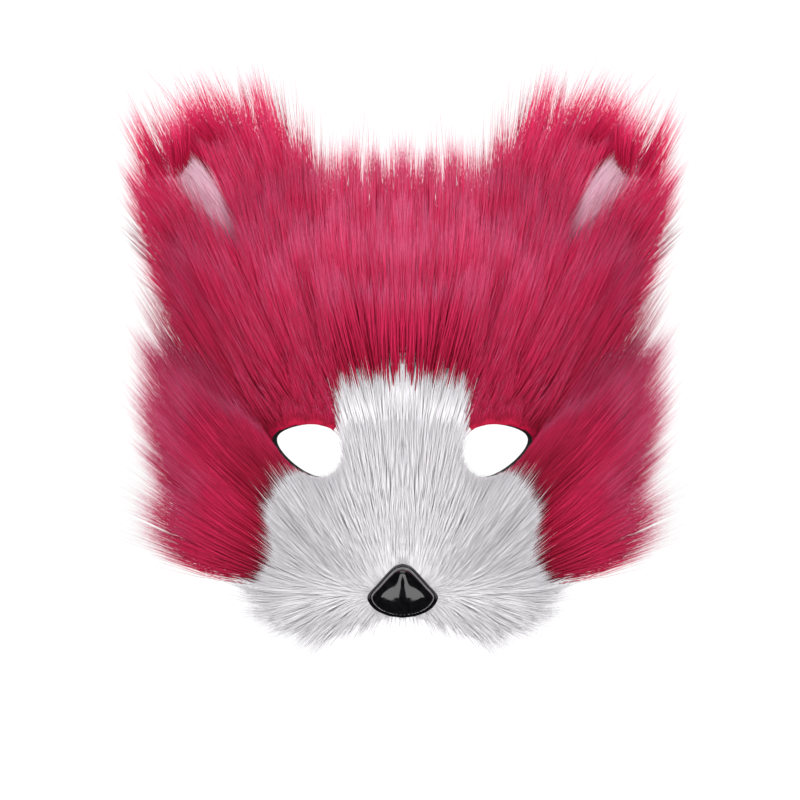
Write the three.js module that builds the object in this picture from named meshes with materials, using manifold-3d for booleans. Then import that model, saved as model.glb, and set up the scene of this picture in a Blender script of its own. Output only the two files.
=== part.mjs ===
// A plush fox half mask, worn over the forehead, nose and cheeks. Millimetres, +Z up. The mask looks along -Y, and
// the origin is where the inner face rests on the bridge of the wearer's nose, on the eye line.
import * as THREE from "three";
import { mergeVertices } from "three/addons/utils/BufferGeometryUtils.js";
import Module from "manifold-3d";

const wasm = await Module();
wasm.setup();

// Clearance between pieces that are sewn or glued together
const GAP = 0.3;

// The foam wall that follows the face
const FACE_HALF_WIDTH = 82;
const FACE_DEPTH = 62;
const WRAP_DEG = 76;
const FOREHEAD_HEIGHT = 100;
const MUZZLE_DROP = 86;
const FOAM_WALL = 5;

// The snout, measured from the face it grows out of
const SNOUT_REACH = 44;
const SNOUT_HALF_WIDTH = 34;
const SNOUT_DROP = 62;
const SNOUT_SQUARENESS = 2.4;

// The eye holes
const EYE_SPACING = 96;
const EYE_LENGTH = 38;
const EYE_HEIGHT = 25;
const EYE_TILT_DEG = 15;
const EYE_POINT = 0.32;
const EYE_SETBACK = 4;
const EYE_SOCKET_RADIUS = 24;

// The fur: its knitted backing, and how long its pile is
const BACKING = 2;
const FOREHEAD_PILE = 58;
const TEMPLE_PILE = 80;
const CHEEK_PILE = 62;
const MUZZLE_PILE = 34;
const NOSE_PILE = 10;
const EAR_PILE = 48;
const OUTER_TRIM = 0.22;
const INNER_EAR_PILE = 26;

// A lock of fur, at its root
const LOCK_WIDTH = 19;
const LOCK_THICKNESS = 8;
const LOCK_BELLY = 0.6;
const LOCK_FOOT = 0.75;
const LOCK_SLIMNESS = 0.55;
const LOCK_LIFT_DEG = 14;
const LIFT_KEPT = 0.8;
const LENGTH_VARIETY = 0.14;

// The ears, each a cupped foam leaf that leans outwards
const EAR_SPACING = 126;
const EAR_SEAT_HEIGHT = 62;
const EAR_SEAT_DEPTH = 40;
const EAR_HEIGHT = 94;
const EAR_WIDTH = 90;
const EAR_LEAN_DEG = 25;
const EAR_CUP = 11;
const EAR_WALL = 5;
const INNER_EAR_LENGTH = 54;
const INNER_EAR_WIDTH = 20;
const INNER_EAR_RISE = 0.72;
const INNER_EAR_OVER = 0.18;
const INNER_EAR_LEAN_DEG = 34;
const EAR_BRUSH_INSET = 33;
const EAR_BRUSH_DROP = 5;

// The plastic nose and its post
const NOSE_WIDTH = 33.5;
const NOSE_HEIGHT = 26;
const NOSE_DEPTH = 13;
const NOSE_DROP = 66;
const POST_RADIUS = 2.5;
const POST_LENGTH = 16;

// The elastic strap round the back of the head
const STRAP_WIDTH = 20;
const STRAP_THICKNESS = 1.5;
const STRAP_HEIGHT = 31;
const STRAP_START = 0.76;
const STRAP_SEWN_SHARE = 0.1;
const HEAD_BACK = 182;

// How finely the surfaces are divided
const FACE_COLUMNS = 16;
const FACE_ROWS = 12;
const EAR_COLUMNS = 6;
const EAR_ROWS = 5;
const SIDE_LOCKS = 12;
const OUTLINE_STEPS = 24;
const STRAP_STEPS = 40;
const REACH = 400;

// Level sections of the inner face. Heights are shares of FOREHEAD_HEIGHT above the eye line and of MUZZLE_DROP
// below it, widths are shares of FACE_HALF_WIDTH, and setbacks shares of FACE_DEPTH.
const SECTIONS = [
  { height: -1.0, width: 0.82, setback: 0.06 },
  { height: -0.5, width: 0.95, setback: 0.0 },
  { height: 0.0, width: 1.0, setback: 0.0 },
  { height: 0.4, width: 1.0, setback: 0.02 },
  { height: 0.72, width: 0.93, setback: 0.13 },
  { height: 1.0, width: 0.82, setback: 0.34 },
];

// The top and bottom edge from the middle to the side, as shares of FOREHEAD_HEIGHT and MUZZLE_DROP. The bottom
// edge rises at the middle, where the two lips part.
const EDGES = [
  { side: 0.0, top: 1.0, bottom: 0.87 },
  { side: 0.12, top: 1.0, bottom: 0.94 },
  { side: 0.32, top: 1.0, bottom: 1.0 },
  { side: 0.55, top: 0.98, bottom: 0.98 },
  { side: 0.78, top: 0.88, bottom: 0.87 },
  { side: 1.0, top: 0.64, bottom: 0.64 },
];

// The ridge line of the snout from the eye line down: how far it stands out, as a share of SNOUT_REACH.
const SNOUT_RIDGE = [
  { drop: 0.0, reach: 0.0 },
  { drop: 0.25, reach: 0.14 },
  { drop: 0.55, reach: 0.56 },
  { drop: 0.85, reach: 0.93 },
  { drop: 1.05, reach: 1.0 },
  { drop: 1.4, reach: 0.94 },
];

// Half the ear's width from its seat to its tip, as a share of half of EAR_WIDTH.
const EAR_OUTLINE = [
  { height: 0.0, width: 0.95 },
  { height: 0.25, width: 1.0 },
  { height: 0.5, width: 0.95 },
  { height: 0.75, width: 0.78 },
  { height: 0.92, width: 0.5 },
  { height: 1.0, width: 0.25 },
];

// Half the nose's width from its foot to its top, as shares of its half width and height.
const NOSE_OUTLINE = [
  { height: 0.0, width: 0.0 },
  { height: 0.03, width: 0.36 },
  { height: 0.14, width: 0.76 },
  { height: 0.3, width: 0.98 },
  { height: 0.42, width: 0.99 },
  { height: 0.62, width: 0.72 },
  { height: 0.85, width: 0.4 },
  { height: 0.96, width: 0.2 },
  { height: 1.0, width: 0.0 },
];

// The rings of the nose's dome from its back to its crown, as shares of its depth and its outline.
const NOSE_RINGS = [
  { depth: 0.0, size: 0.94 },
  { depth: 0.14, size: 1.0 },
  { depth: 0.3, size: 0.98 },
  { depth: 0.62, size: 0.82 },
  { depth: 0.86, size: 0.56 },
  { depth: 0.97, size: 0.27 },
];

const radians = THREE.MathUtils.degToRad;
const point = (x, y, z) => new THREE.Vector3(x, y, z);
const mix = (a, b, share) => a + (b - a) * share;
const ease = (low, high, value) => THREE.MathUtils.smoothstep(value, low, high);

// A smooth curve through one column of a table, read at a value of another.
function smooth(table, key, column) {
  const xs = table.map((row) => row[key]);
  const ys = table.map((row) => row[column]);
  const last = xs.length - 1;
  const slope = (i) => {
    const a = Math.max(i - 1, 0);
    const b = Math.min(i + 1, last);
    return (ys[b] - ys[a]) / (xs[b] - xs[a]);
  };
  return (value) => {
    const x = THREE.MathUtils.clamp(value, xs[0], xs[last]);
    let i = 0;
    while (i < last - 1 && x > xs[i + 1]) i += 1;
    const span = xs[i + 1] - xs[i];
    const t = (x - xs[i]) / span;
    const t2 = t * t;
    const t3 = t2 * t;
    return (
      (2 * t3 - 3 * t2 + 1) * ys[i] +
      (t3 - 2 * t2 + t) * span * slope(i) +
      (3 * t2 - 2 * t3) * ys[i + 1] +
      (t3 - t2) * span * slope(i + 1)
    );
  };
}

const sectionWidth = smooth(SECTIONS, "height", "width");
const sectionSetback = smooth(SECTIONS, "height", "setback");
const topEdge = smooth(EDGES, "side", "top");
const bottomEdge = smooth(EDGES, "side", "bottom");
const snoutRidge = smooth(SNOUT_RIDGE, "drop", "reach");
const earHalfWidth = smooth(EAR_OUTLINE, "height", "width");

const EYE = { x: EYE_SPACING / 2, z: 0.8 };

// How far the snout pushes the face forward, and the eye sockets let it back.
function relief(x, z) {
  const snout = SNOUT_REACH * snoutRidge(-z / SNOUT_DROP);
  const across = Math.exp(-((Math.abs(x) / SNOUT_HALF_WIDTH) ** SNOUT_SQUARENESS));
  const fromEye = Math.hypot(Math.abs(x) - EYE.x, z - EYE.z) / EYE_SOCKET_RADIUS;
  return EYE_SETBACK * Math.exp(-fromEye * fromEye) - snout * across;
}

// The inner face of the foam: side runs from -1 to 1, and rise from the bottom edge, 0, to the top edge, 1.
function innerFace(side, rise) {
  const out = Math.abs(side);
  const top = FOREHEAD_HEIGHT * topEdge(out);
  const bottom = -MUZZLE_DROP * bottomEdge(out);
  const z = mix(bottom, top, rise);
  const height = z / (z > 0 ? FOREHEAD_HEIGHT : MUZZLE_DROP);
  const angle = radians(WRAP_DEG) * side;
  const x = FACE_HALF_WIDTH * sectionWidth(height) * Math.sin(angle);
  const y = FACE_DEPTH * (sectionSetback(height) + 1 - Math.cos(angle));
  return point(x, y + relief(x, z), z);
}

// The direction that leaves a surface forwards, away from the wearer.
function outward(surface, u, v) {
  const step = 0.01;
  const du = surface(u + step, v).sub(surface(u - step, v));
  const dv = surface(u, v + step).sub(surface(u, v - step));
  return du.cross(dv).normalize();
}

function face(side, rise, depth) {
  return innerFace(side, rise).addScaledVector(outward(innerFace, side, rise), depth);
}

// A manifold-3d solid from points and triangles, turned so that its faces look out.
function solidOf(points, triangles) {
  const vertProperties = new Float32Array(points.flatMap((p) => [p.x, p.y, p.z]));
  const make = (list) =>
    new wasm.Manifold(new wasm.Mesh({ numProp: 3, vertProperties, triVerts: new Uint32Array(list.flat()) }));
  const made = make(triangles);
  return made.volume() < 0 ? make(triangles.map(([a, b, c]) => [a, c, b])) : made;
}

// A three.js geometry as a manifold-3d solid.
function solidFrom(geometry, weld = 1e-4) {
  const bare = geometry.clone();
  bare.deleteAttribute("normal");
  bare.deleteAttribute("uv");
  const merged = mergeVertices(bare, weld);
  return new wasm.Manifold(
    new wasm.Mesh({
      numProp: 3,
      vertProperties: new Float32Array(merged.attributes.position.array),
      triVerts: new Uint32Array(merged.index.array),
    }),
  );
}

// A closed slab between two sides of a grid: at(u, v, side) with u and v from 0 to 1, and side 0 or 1.
function slab(at, columns, rows) {
  const points = [];
  const index = (i, j, side) => (side * (rows + 1) + j) * (columns + 1) + i;
  for (const side of [0, 1])
    for (let j = 0; j <= rows; j += 1)
      for (let i = 0; i <= columns; i += 1) points.push(at(i / columns, j / rows, side));
  const triangles = [];
  const quad = (a, b, c, d) => triangles.push([a, b, c], [a, c, d]);
  for (let j = 0; j < rows; j += 1)
    for (let i = 0; i < columns; i += 1) {
      quad(index(i, j, 0), index(i + 1, j, 0), index(i + 1, j + 1, 0), index(i, j + 1, 0));
      quad(index(i, j, 1), index(i, j + 1, 1), index(i + 1, j + 1, 1), index(i + 1, j, 1));
    }
  for (let i = 0; i < columns; i += 1) {
    quad(index(i, 0, 0), index(i, 0, 1), index(i + 1, 0, 1), index(i + 1, 0, 0));
    quad(index(i, rows, 0), index(i + 1, rows, 0), index(i + 1, rows, 1), index(i, rows, 1));
  }
  for (let j = 0; j < rows; j += 1) {
    quad(index(0, j, 0), index(0, j + 1, 0), index(0, j + 1, 1), index(0, j, 1));
    quad(index(columns, j, 0), index(columns, j, 1), index(columns, j + 1, 1), index(columns, j + 1, 0));
  }
  return solidOf(points, triangles);
}

// The part of the mask between two depths from the inner face.
const faceWall = (near, far) =>
  slab((u, v, side) => face(2 * u - 1, v, side ? far : near), FACE_COLUMNS, FACE_ROWS);

// Everything behind one depth of the mask, which the fur and the ears are kept clear of.
function behind(depth) {
  const front = (u, v) => face(2 * u - 1, v, depth);
  const at = (u, v, back) => (back ? front(u, v).setY(REACH) : front(u, v));
  return slab(at, FACE_COLUMNS, FACE_ROWS);
}

// A prism along Y over a closed outline of [x, z] points in the front view.
function frontPrism(outline, from = -REACH, to = REACH) {
  const shape = new THREE.Shape(outline.map(([x, z]) => new THREE.Vector2(x, z)));
  const geometry = new THREE.ExtrudeGeometry(shape, { depth: to - from, bevelEnabled: false });
  geometry.rotateX(Math.PI / 2).translate(0, to, 0);
  return solidFrom(geometry);
}

// An anticlockwise outline with every edge moved out by a margin.
function grown(outline, margin) {
  const normal = ([ax, az], [bx, bz]) => new THREE.Vector2(bz - az, ax - bx).normalize();
  return outline.map((corner, i) => {
    const before = normal(outline[(i + outline.length - 1) % outline.length], corner);
    const after = normal(corner, outline[(i + 1) % outline.length]);
    const turn = before.clone().add(after);
    turn.multiplyScalar((2 * margin) / turn.lengthSq());
    return [corner[0] + turn.x, corner[1] + turn.y];
  });
}

const mirrored = (outline) => outline.map(([x, z]) => [-x, z]).reverse();

// The eye hole's outline about its own centre, grown by a margin: an oval with a point at its outer end.
function eyeOutline(margin) {
  const tilt = radians(EYE_TILT_DEG);
  return Array.from({ length: OUTLINE_STEPS }, (_, i) => {
    const a = (2 * Math.PI * i) / OUTLINE_STEPS;
    const x = (EYE_LENGTH / 2 + margin) * Math.cos(a);
    const z = (EYE_HEIGHT / 2 + margin) * Math.sin(a) * (1 - EYE_POINT * Math.cos(a));
    return [x * Math.cos(tilt) - z * Math.sin(tilt), x * Math.sin(tilt) + z * Math.cos(tilt)];
  });
}

// Where on the grid of the face a point of the front view lies.
function placeOn(x, z) {
  let side = 0;
  let rise = 0.5;
  const step = 0.001;
  for (let i = 0; i < 30; i += 1) {
    const p = face(side, rise, FOAM_WALL);
    const du = face(side + step, rise, FOAM_WALL).sub(p).divideScalar(step);
    const dv = face(side, rise + step, FOAM_WALL).sub(p).divideScalar(step);
    const det = du.x * dv.z - du.z * dv.x;
    side += ((x - p.x) * dv.z - (z - p.z) * dv.x) / det;
    rise += ((z - p.z) * du.x - (x - p.x) * du.z) / det;
  }
  return { side, rise };
}

// The cutter of one eye hole. Behind the foam's outer face it runs square to the wall, so that the rim shows at the
// outer corner.
function eyeCutter(margin) {
  const at = placeOn(EYE.x, EYE.z);
  const inwards = outward(innerFace, at.side, at.rise).negate();
  const rim = eyeOutline(margin).map(([x, z]) => {
    const { side, rise } = placeOn(EYE.x + x, EYE.z + z);
    return face(side, rise, FOAM_WALL);
  });
  const front = rim.map((p) => p.clone().setY(-REACH));
  const back = rim.map((p) => p.clone().addScaledVector(inwards, 4 * FOAM_WALL));
  return prismThrough([...front, ...rim, ...back], rim.length);
}

// A closed solid through rings of equal length, capped flat at both ends.
function prismThrough(points, length) {
  const rings = points.length / length;
  const triangles = [];
  for (let r = 0; r < rings - 1; r += 1)
    for (let i = 0; i < length; i += 1) {
      const a = r * length + i;
      const b = r * length + ((i + 1) % length);
      triangles.push([a, b, b + length], [a, b + length, a + length]);
    }
  const end = (rings - 1) * length;
  for (let i = 1; i < length - 1; i += 1) triangles.push([0, i + 1, i], [end, end + i, end + i + 1]);
  return solidOf(points, triangles);
}

// The panels that the fur is cut into, as outlines of one half in the front view. Each corner is given from the
// piece that it lines up with: the eyes, the foam's top, the snout and the ears.
const EYE_OUTER = EYE.x + EYE_LENGTH / 2;
const EYE_INNER = EYE.x - EYE_LENGTH / 2;
const EYE_FOOT = EYE.z - EYE_HEIGHT / 2;
const EAR_SEAT = { x: EAR_SPACING / 2, z: EAR_SEAT_HEIGHT };
const PATCH_TOP = 0.27 * FOREHEAD_HEIGHT;
const cheekCorner = { x: EYE_OUTER + 0.45 * EYE_LENGTH, z: EYE.z + 0.04 * EYE_HEIGHT };
// The ear's seam, from the top of the forehead down to the temple
const seamTop = { x: EAR_SEAT.x - 0.26 * EAR_WIDTH, z: EAR_SEAT.z + 0.36 * EAR_HEIGHT };
const seamMiddle = { x: EAR_SEAT.x - 0.07 * EAR_WIDTH, z: EAR_SEAT.z };
const seamFoot = { x: EAR_SEAT.x + 0.23 * EAR_WIDTH, z: EAR_SEAT.z - 0.3 * EAR_HEIGHT };
// Where the rays that part the locks at the side of the face end
const cheekRay = cheekCorner.z + 0.8 * (REACH - cheekCorner.x);
const earRay = seamFoot.z + 0.85 * (REACH - seamFoot.x);

const muzzleHalf = [
  [0, PATCH_TOP],
  [EYE_INNER - 0.1 * EYE_LENGTH, PATCH_TOP],
  [EYE_INNER + 0.05 * EYE_LENGTH, 0.8 * PATCH_TOP],
  [EYE_INNER + 0.03 * EYE_LENGTH, EYE.z],
  [EYE.x, EYE.z - 0.08 * EYE_HEIGHT],
  [EYE.x + 0.13 * EYE_LENGTH, EYE_FOOT - 0.04 * EYE_HEIGHT],
  [EYE_OUTER - 0.08 * EYE_LENGTH, EYE_FOOT - 0.3 * EYE_HEIGHT],
  [0.8 * FACE_HALF_WIDTH, -0.37 * MUZZLE_DROP],
  [0.79 * FACE_HALF_WIDTH, -0.52 * MUZZLE_DROP],
  [0.88 * FACE_HALF_WIDTH, -0.65 * MUZZLE_DROP],
  [1.11 * FACE_HALF_WIDTH, -0.765 * MUZZLE_DROP],
  [1.55 * FACE_HALF_WIDTH, -0.857 * MUZZLE_DROP],
  [1.55 * FACE_HALF_WIDTH, -REACH],
  [0, -REACH],
];
const muzzleOutline = [...muzzleHalf.slice(1, -1), ...mirrored(muzzleHalf.slice(1, -1))].reverse();
const foreheadHalf = [
  [0, 0],
  [EYE.x, EYE.z],
  [EYE_OUTER - 1, EYE.z + 4],
  [cheekCorner.x, cheekCorner.z],
  [REACH, cheekRay],
  [REACH, earRay],
  [seamFoot.x, seamFoot.z],
  [seamMiddle.x, seamMiddle.z],
  [seamTop.x, seamTop.z],
  [seamTop.x, REACH],
  [0, REACH],
];
const foreheadOutline = [...foreheadHalf.slice(1, -1), ...mirrored(foreheadHalf.slice(1, -1))];
const cheekOutline = [
  [EYE.x, EYE.z - GAP],
  [EYE.x, -REACH],
  [REACH, -REACH],
  [REACH, cheekRay - 2 * GAP],
  [cheekCorner.x + GAP, cheekCorner.z - GAP],
  [EYE_OUTER - 1 + GAP, EYE.z + 4 - GAP],
];
const earOutline = [
  [seamTop.x + GAP, REACH],
  [seamTop.x + GAP, seamTop.z + GAP],
  [seamMiddle.x + GAP, seamMiddle.z + GAP],
  [seamFoot.x + GAP, seamFoot.z + 2 * GAP],
  [REACH, earRay + 2 * GAP],
  [REACH, REACH],
];

// The way the fur is brushed in the front view: away from a point by the mouth, and straighter on the forehead.
function brushed(x, z) {
  const away = new THREE.Vector2(x, z + 1.02 * MUZZLE_DROP);
  const straight = ease(0, FOREHEAD_HEIGHT, z) * (1 - ease(0.4, 0.9, Math.abs(x) / FACE_HALF_WIDTH));
  const down = ease(0.88, 1.15, -z / NOSE_DROP) * (1 - ease(0.37, 0.85, Math.abs(x) / FACE_HALF_WIDTH));
  const flow = away.normalize().lerp(new THREE.Vector2(0, 1), 0.75 * straight);
  const below = new THREE.Vector2(x * 0.9, z + 0.91 * NOSE_DROP).normalize();
  return flow.lerp(below, down).normalize();
}

// An even spread of small differences in length, by a lock's column and row.
const variety = (i, j) => 1 + LENGTH_VARIETY * Math.sin(2.4 * Math.abs(i) + 1.7 * j);

// One lock: a three-sided spike whose foot lies in the backing and whose tip lies along the brushed way. It lifts
// off the surface by a least angle, and by more where the brushed way itself leaves the surface.
function lock(root, normal, brush, length, fullWidth = LOCK_WIDTH) {
  const width = Math.min(fullWidth, LOCK_SLIMNESS * length);
  const thickness = (LOCK_THICKNESS * width) / fullWidth;
  const rising = brush.dot(normal);
  const lift = Math.max(radians(LOCK_LIFT_DEG), LIFT_KEPT * Math.asin(rising));
  const along = brush.clone().addScaledVector(normal, -rising).normalize();
  const across = new THREE.Vector3().crossVectors(normal, along);
  const at = (t) =>
    root
      .clone()
      .addScaledVector(along, length * t * Math.cos(lift))
      .addScaledVector(normal, length * Math.sin(lift) * t * (1.35 - 0.35 * t));
  const ring = (t, share) => {
    const middle = at(t);
    const forward = at(t + 0.01).sub(middle).normalize();
    const up = new THREE.Vector3().crossVectors(forward, across).normalize();
    return [
      middle.clone().addScaledVector(across, (-width / 2) * share),
      middle.clone().addScaledVector(across, (width / 2) * share),
      middle.clone().addScaledVector(up, thickness * share),
    ];
  };
  const foot = [
    root.clone().addScaledVector(across, (-width / 2) * LOCK_FOOT),
    root.clone().addScaledVector(across, (width / 2) * LOCK_FOOT),
    root.clone().addScaledVector(along, -thickness),
  ];
  const points = [...foot, ...ring(LOCK_BELLY, 1), at(1)];
  const triangles = [[0, 1, 2]];
  for (const [a, b] of [
    [0, 1],
    [1, 2],
    [2, 0],
  ])
    triangles.push([a, a + 3, b + 3], [a, b + 3, b], [a + 3, 6, b + 3]);
  return solidOf(points, triangles);
}

function geometryOf(solid) {
  const { vertProperties, triVerts, numProp } = solid.getMesh();
  const geometry = new THREE.BufferGeometry();
  const positions = new THREE.InterleavedBuffer(vertProperties, numProp);
  geometry.setAttribute("position", new THREE.InterleavedBufferAttribute(positions, 3, 0));
  geometry.setIndex(new THREE.BufferAttribute(triVerts, 1));
  return geometry;
}

// The same solid on the other side of the face.
function mirroredSolid(solid) {
  const { vertProperties, triVerts, numProp } = solid.getMesh();
  const points = [];
  const triangles = [];
  for (let i = 0; i < vertProperties.length; i += numProp)
    points.push(point(-vertProperties[i], vertProperties[i + 1], vertProperties[i + 2]));
  for (let i = 0; i < triVerts.length; i += 3) triangles.push([...triVerts.slice(i, i + 3)]);
  return solidOf(points, triangles);
}

// The largest of the bodies that a cut leaves, with its close corners made one and no hollow inside.
function mainBody(solid) {
  const bodies = solidFrom(geometryOf(solid).toNonIndexed(), 1e-3).decompose();
  const largest = bodies.sort((a, b) => b.volume() - a.volume())[0];
  return bodies.length > 1 ? mainBody(largest) : largest;
}

const eyeHoles = (margin) => eyeCutter(margin).add(mirroredSolid(eyeCutter(margin)));
const inside = ([x, z], outline) =>
  outline.reduce((odd, [ax, az], i) => {
    const [bx, bz] = outline[(i + 1) % outline.length];
    return az > z !== bz > z && x < ((bx - ax) * (z - az)) / (bz - az) + ax ? !odd : odd;
  }, false);

// Where the locks of the face are rooted: staggered rows, and a closer row down each side.
function lockRoots(columns, rows) {
  const roots = [];
  const half = (columns - 1) / 2;
  for (let j = 0; j < rows; j += 1)
    for (let i = 0; i < columns - 1 + (j % 2); i += 1) {
      const column = i - half + (j % 2 ? 0 : 0.5);
      roots.push({ side: (0.84 * column) / half, rise: mix(0.03, 0.97, j / (rows - 1)), column, row: j });
    }
  for (let j = 0; j < SIDE_LOCKS; j += 1)
    for (const side of [-0.97, 0.97])
      roots.push({ side, rise: mix(0.04, 0.95, j / (SIDE_LOCKS - 1)), column: 0, row: j });
  return roots;
}

// A fur panel: the backing inside an outline of the front view, with its locks on it.
function furPanel(outline, pileAt, columns, rows, core) {
  const backing = faceWall(FOAM_WALL + GAP, FOAM_WALL + GAP + BACKING);
  const locks = lockRoots(columns, rows)
    .map((at) => ({ ...at, root: face(at.side, at.rise, FOAM_WALL + GAP + 0.6 * BACKING) }))
    .filter(({ root }) => inside([root.x, root.z], outline))
    .map(({ side, rise, column, row, root }) => {
      const flow = brushed(root.x, root.z);
      const length = pileAt(root.x, root.z) * variety(column, row);
      return lock(root, outward(innerFace, side, rise), point(flow.x, 0, flow.y), length);
    });
  return backing.add(wasm.Manifold.union(locks).subtract(core)).intersect(frontPrism(outline));
}

// The right ear's own axes: along it to the tip, across it, and where it meets the foam.
const EAR_UP = point(Math.sin(radians(EAR_LEAN_DEG)), 0, Math.cos(radians(EAR_LEAN_DEG)));
const EAR_ACROSS = point(EAR_UP.z, 0, -EAR_UP.x);

// A point of the ear: rise from its seat, 0, to its tip, 1, across from -1 to 1, and depth behind its front.
function earPoint(rise, over, depth) {
  const cupped = EAR_CUP * (1 - over * over) * (1 - 0.6 * rise);
  return point(EAR_SEAT.x, EAR_SEAT_DEPTH + cupped + depth, EAR_SEAT.z)
    .addScaledVector(EAR_UP, EAR_HEIGHT * rise)
    .addScaledVector(EAR_ACROSS, (EAR_WIDTH / 2) * earHalfWidth(rise) * over);
}

const earLeaf = (near) =>
  slab((u, v, back) => earPoint(v, 2 * u - 1, back ? EAR_WALL : near), EAR_COLUMNS, EAR_ROWS);

// The lining of the ear's cup: a long oval that leans out more than the ear does.
const LINING_UP = point(Math.sin(radians(INNER_EAR_LEAN_DEG)), 0, Math.cos(radians(INNER_EAR_LEAN_DEG)));
const LINING_ACROSS = point(LINING_UP.z, 0, -LINING_UP.x);
const liningPoint = (along, over) =>
  earPoint(INNER_EAR_RISE, INNER_EAR_OVER, 0).addScaledVector(LINING_UP, along).addScaledVector(LINING_ACROSS, over);

const innerEarOutline = (margin) =>
  Array.from({ length: OUTLINE_STEPS / 2 }, (_, i) => {
    const a = (4 * Math.PI * i) / OUTLINE_STEPS;
    const along = (INNER_EAR_LENGTH / 2 + margin) * Math.cos(a);
    const { x, z } = liningPoint(along, (INNER_EAR_WIDTH / 2 + margin) * Math.sin(a));
    return [x, z];
  });

// Locks over one face of the ear, brushed away from the middle of the face below it.
function earLocks(front, rows, columns) {
  const locks = [];
  for (let j = 0; j < rows; j += 1)
    for (let i = 0; i < columns; i += 1) {
      const rise = mix(0.03, 0.94, j / (rows - 1));
      const over = 0.95 * (2 * ((i + (j % 2 ? 0.2 : -0.2) + 0.5) / columns) - 1);
      const root = earPoint(rise, over, front ? 1 : EAR_WALL - 1);
      const brush = point(root.x - EAR_BRUSH_INSET, 0, root.z + EAR_BRUSH_DROP).normalize();
      const length = EAR_PILE * variety(i, j) * (1 - OUTER_TRIM * Math.max(over, 0));
      locks.push(lock(root, point(0, front ? -1 : 1, 0), brush, length, 1.25 * LOCK_WIDTH));
    }
  return wasm.Manifold.union(locks);
}

// The ear, with the corner of the forehead that it grows out of.
function ear(core) {
  const slot = frontPrism(innerEarOutline(GAP), -REACH, EAR_SEAT_DEPTH + EAR_CUP);
  const leaf = wasm.Manifold.union([earLeaf(0), earLocks(true, 4, 3).subtract(slot), earLocks(false, 3, 3)]);
  const corner = furPanel(earOutline, foreheadPile, 9, 7, core);
  return mainBody(leaf.subtract(core).intersect(frontPrism(earOutline)).add(corner.subtract(slot)));
}

// The pale fur that lines the ear's cup.
function innerEar(core) {
  const backing = slab(
    (u, v, back) => earPoint(v, 2 * u - 1, back ? 1 : -GAP - BACKING),
    EAR_COLUMNS,
    EAR_ROWS,
  );
  const locks = [0, 1, 2].map((i) => {
    const root = liningPoint(INNER_EAR_LENGTH * (0.2 * i - 0.42), 3 * (i - 1));
    root.y -= GAP + 0.5 * BACKING;
    return lock(root, point(0, -1, 0), LINING_UP, INNER_EAR_PILE, 0.9 * LOCK_WIDTH);
  });
  const whole = wasm.Manifold.union([backing, ...locks]);
  return mainBody(whole.intersect(frontPrism(innerEarOutline(0))).subtract(core).subtract(earLeaf(-GAP)));
}

// The nose: a rounded three-cornered dome on a flat back, with a round post behind it.
const noseHalfWidth = smooth(NOSE_OUTLINE, "height", "width");

function noseOutline(size) {
  const steps = OUTLINE_STEPS / 2;
  const middle = -NOSE_DROP;
  const half = Array.from({ length: steps + 1 }, (_, i) => {
    const height = (1 - Math.cos((Math.PI * i) / steps)) / 2;
    return [(NOSE_WIDTH / 2) * noseHalfWidth(height), NOSE_HEIGHT * (height - 0.5)];
  });
  const left = half.slice(1, -1).map(([x, z]) => [-x, z]);
  return [...half, ...left.reverse()].map(([x, z]) => [x * size, middle + z * size]);
}

function nose(back) {
  const rings = NOSE_RINGS.map((ring) => ({ y: back - NOSE_DEPTH * ring.depth, outline: noseOutline(ring.size) }));
  const points = rings.flatMap(({ y, outline }) => outline.map(([x, z]) => point(x, y, z)));
  const dome = prismThrough(points, rings[0].outline.length);
  const post = new THREE.CylinderGeometry(POST_RADIUS, POST_RADIUS, POST_LENGTH, OUTLINE_STEPS / 2);
  post.translate(0, back + POST_LENGTH / 2 - 1, -NOSE_DROP);
  return dome.add(solidFrom(post));
}

const postHole = () => {
  const hole = new THREE.CylinderGeometry(POST_RADIUS + GAP, POST_RADIUS + GAP, REACH, OUTLINE_STEPS / 2);
  return solidFrom(hole.translate(0, 0, -NOSE_DROP));
};

// The elastic strap, which lies on the foam's inside at each temple and runs level round the back of the head.
function strap() {
  const along = (side, z, depth) => {
    const out = Math.abs(side);
    const top = FOREHEAD_HEIGHT * topEdge(out);
    const bottom = -MUZZLE_DROP * bottomEdge(out);
    return face(side, (z - bottom) / (top - bottom), depth);
  };
  const at = (share, top, out) => {
    const z = STRAP_HEIGHT + (top - 0.5) * STRAP_WIDTH;
    const depth = -2 * GAP - (out ? 0 : STRAP_THICKNESS);
    const near = Math.min(share, 1 - share) / STRAP_SEWN_SHARE;
    const side = share < 0.5 ? 1 : -1;
    if (near < 1) return along(side * mix(STRAP_START, 1, near), z, depth).setZ(z);
    const temple = along(1, z, depth);
    const turn = (Math.PI * (share - STRAP_SEWN_SHARE)) / (1 - 2 * STRAP_SEWN_SHARE);
    const back = HEAD_BACK - temple.y + depth;
    return point(temple.x * Math.cos(turn), temple.y + back * Math.sin(turn), z);
  };
  return slab(at, STRAP_STEPS, 1);
}

// A pile that is short by the nose and full a little way out, and trimmed above the eyes.
const eyeTrim = (x, z) => {
  const from = Math.hypot(Math.abs(x) - EYE.x, z - EYE.z - 4);
  return mix(0.45, 1, ease(EYE_HEIGHT / 2, EYE_LENGTH * 1.3, from));
};
const muzzlePile = (x, z) =>
  mix(NOSE_PILE, MUZZLE_PILE, ease(NOSE_WIDTH / 2, 1.7 * NOSE_WIDTH, Math.hypot(x, z + NOSE_DROP)));
const foreheadPile = (x, z) => {
  const temple = ease(0.6, 1, Math.abs(x) / FACE_HALF_WIDTH) * (1 - ease(0.5, 0.8, z / FOREHEAD_HEIGHT));
  return mix(FOREHEAD_PILE, TEMPLE_PILE, temple) * eyeTrim(x, z);
};
const cheekPile = (x, z) => CHEEK_PILE * eyeTrim(x, z);

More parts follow.
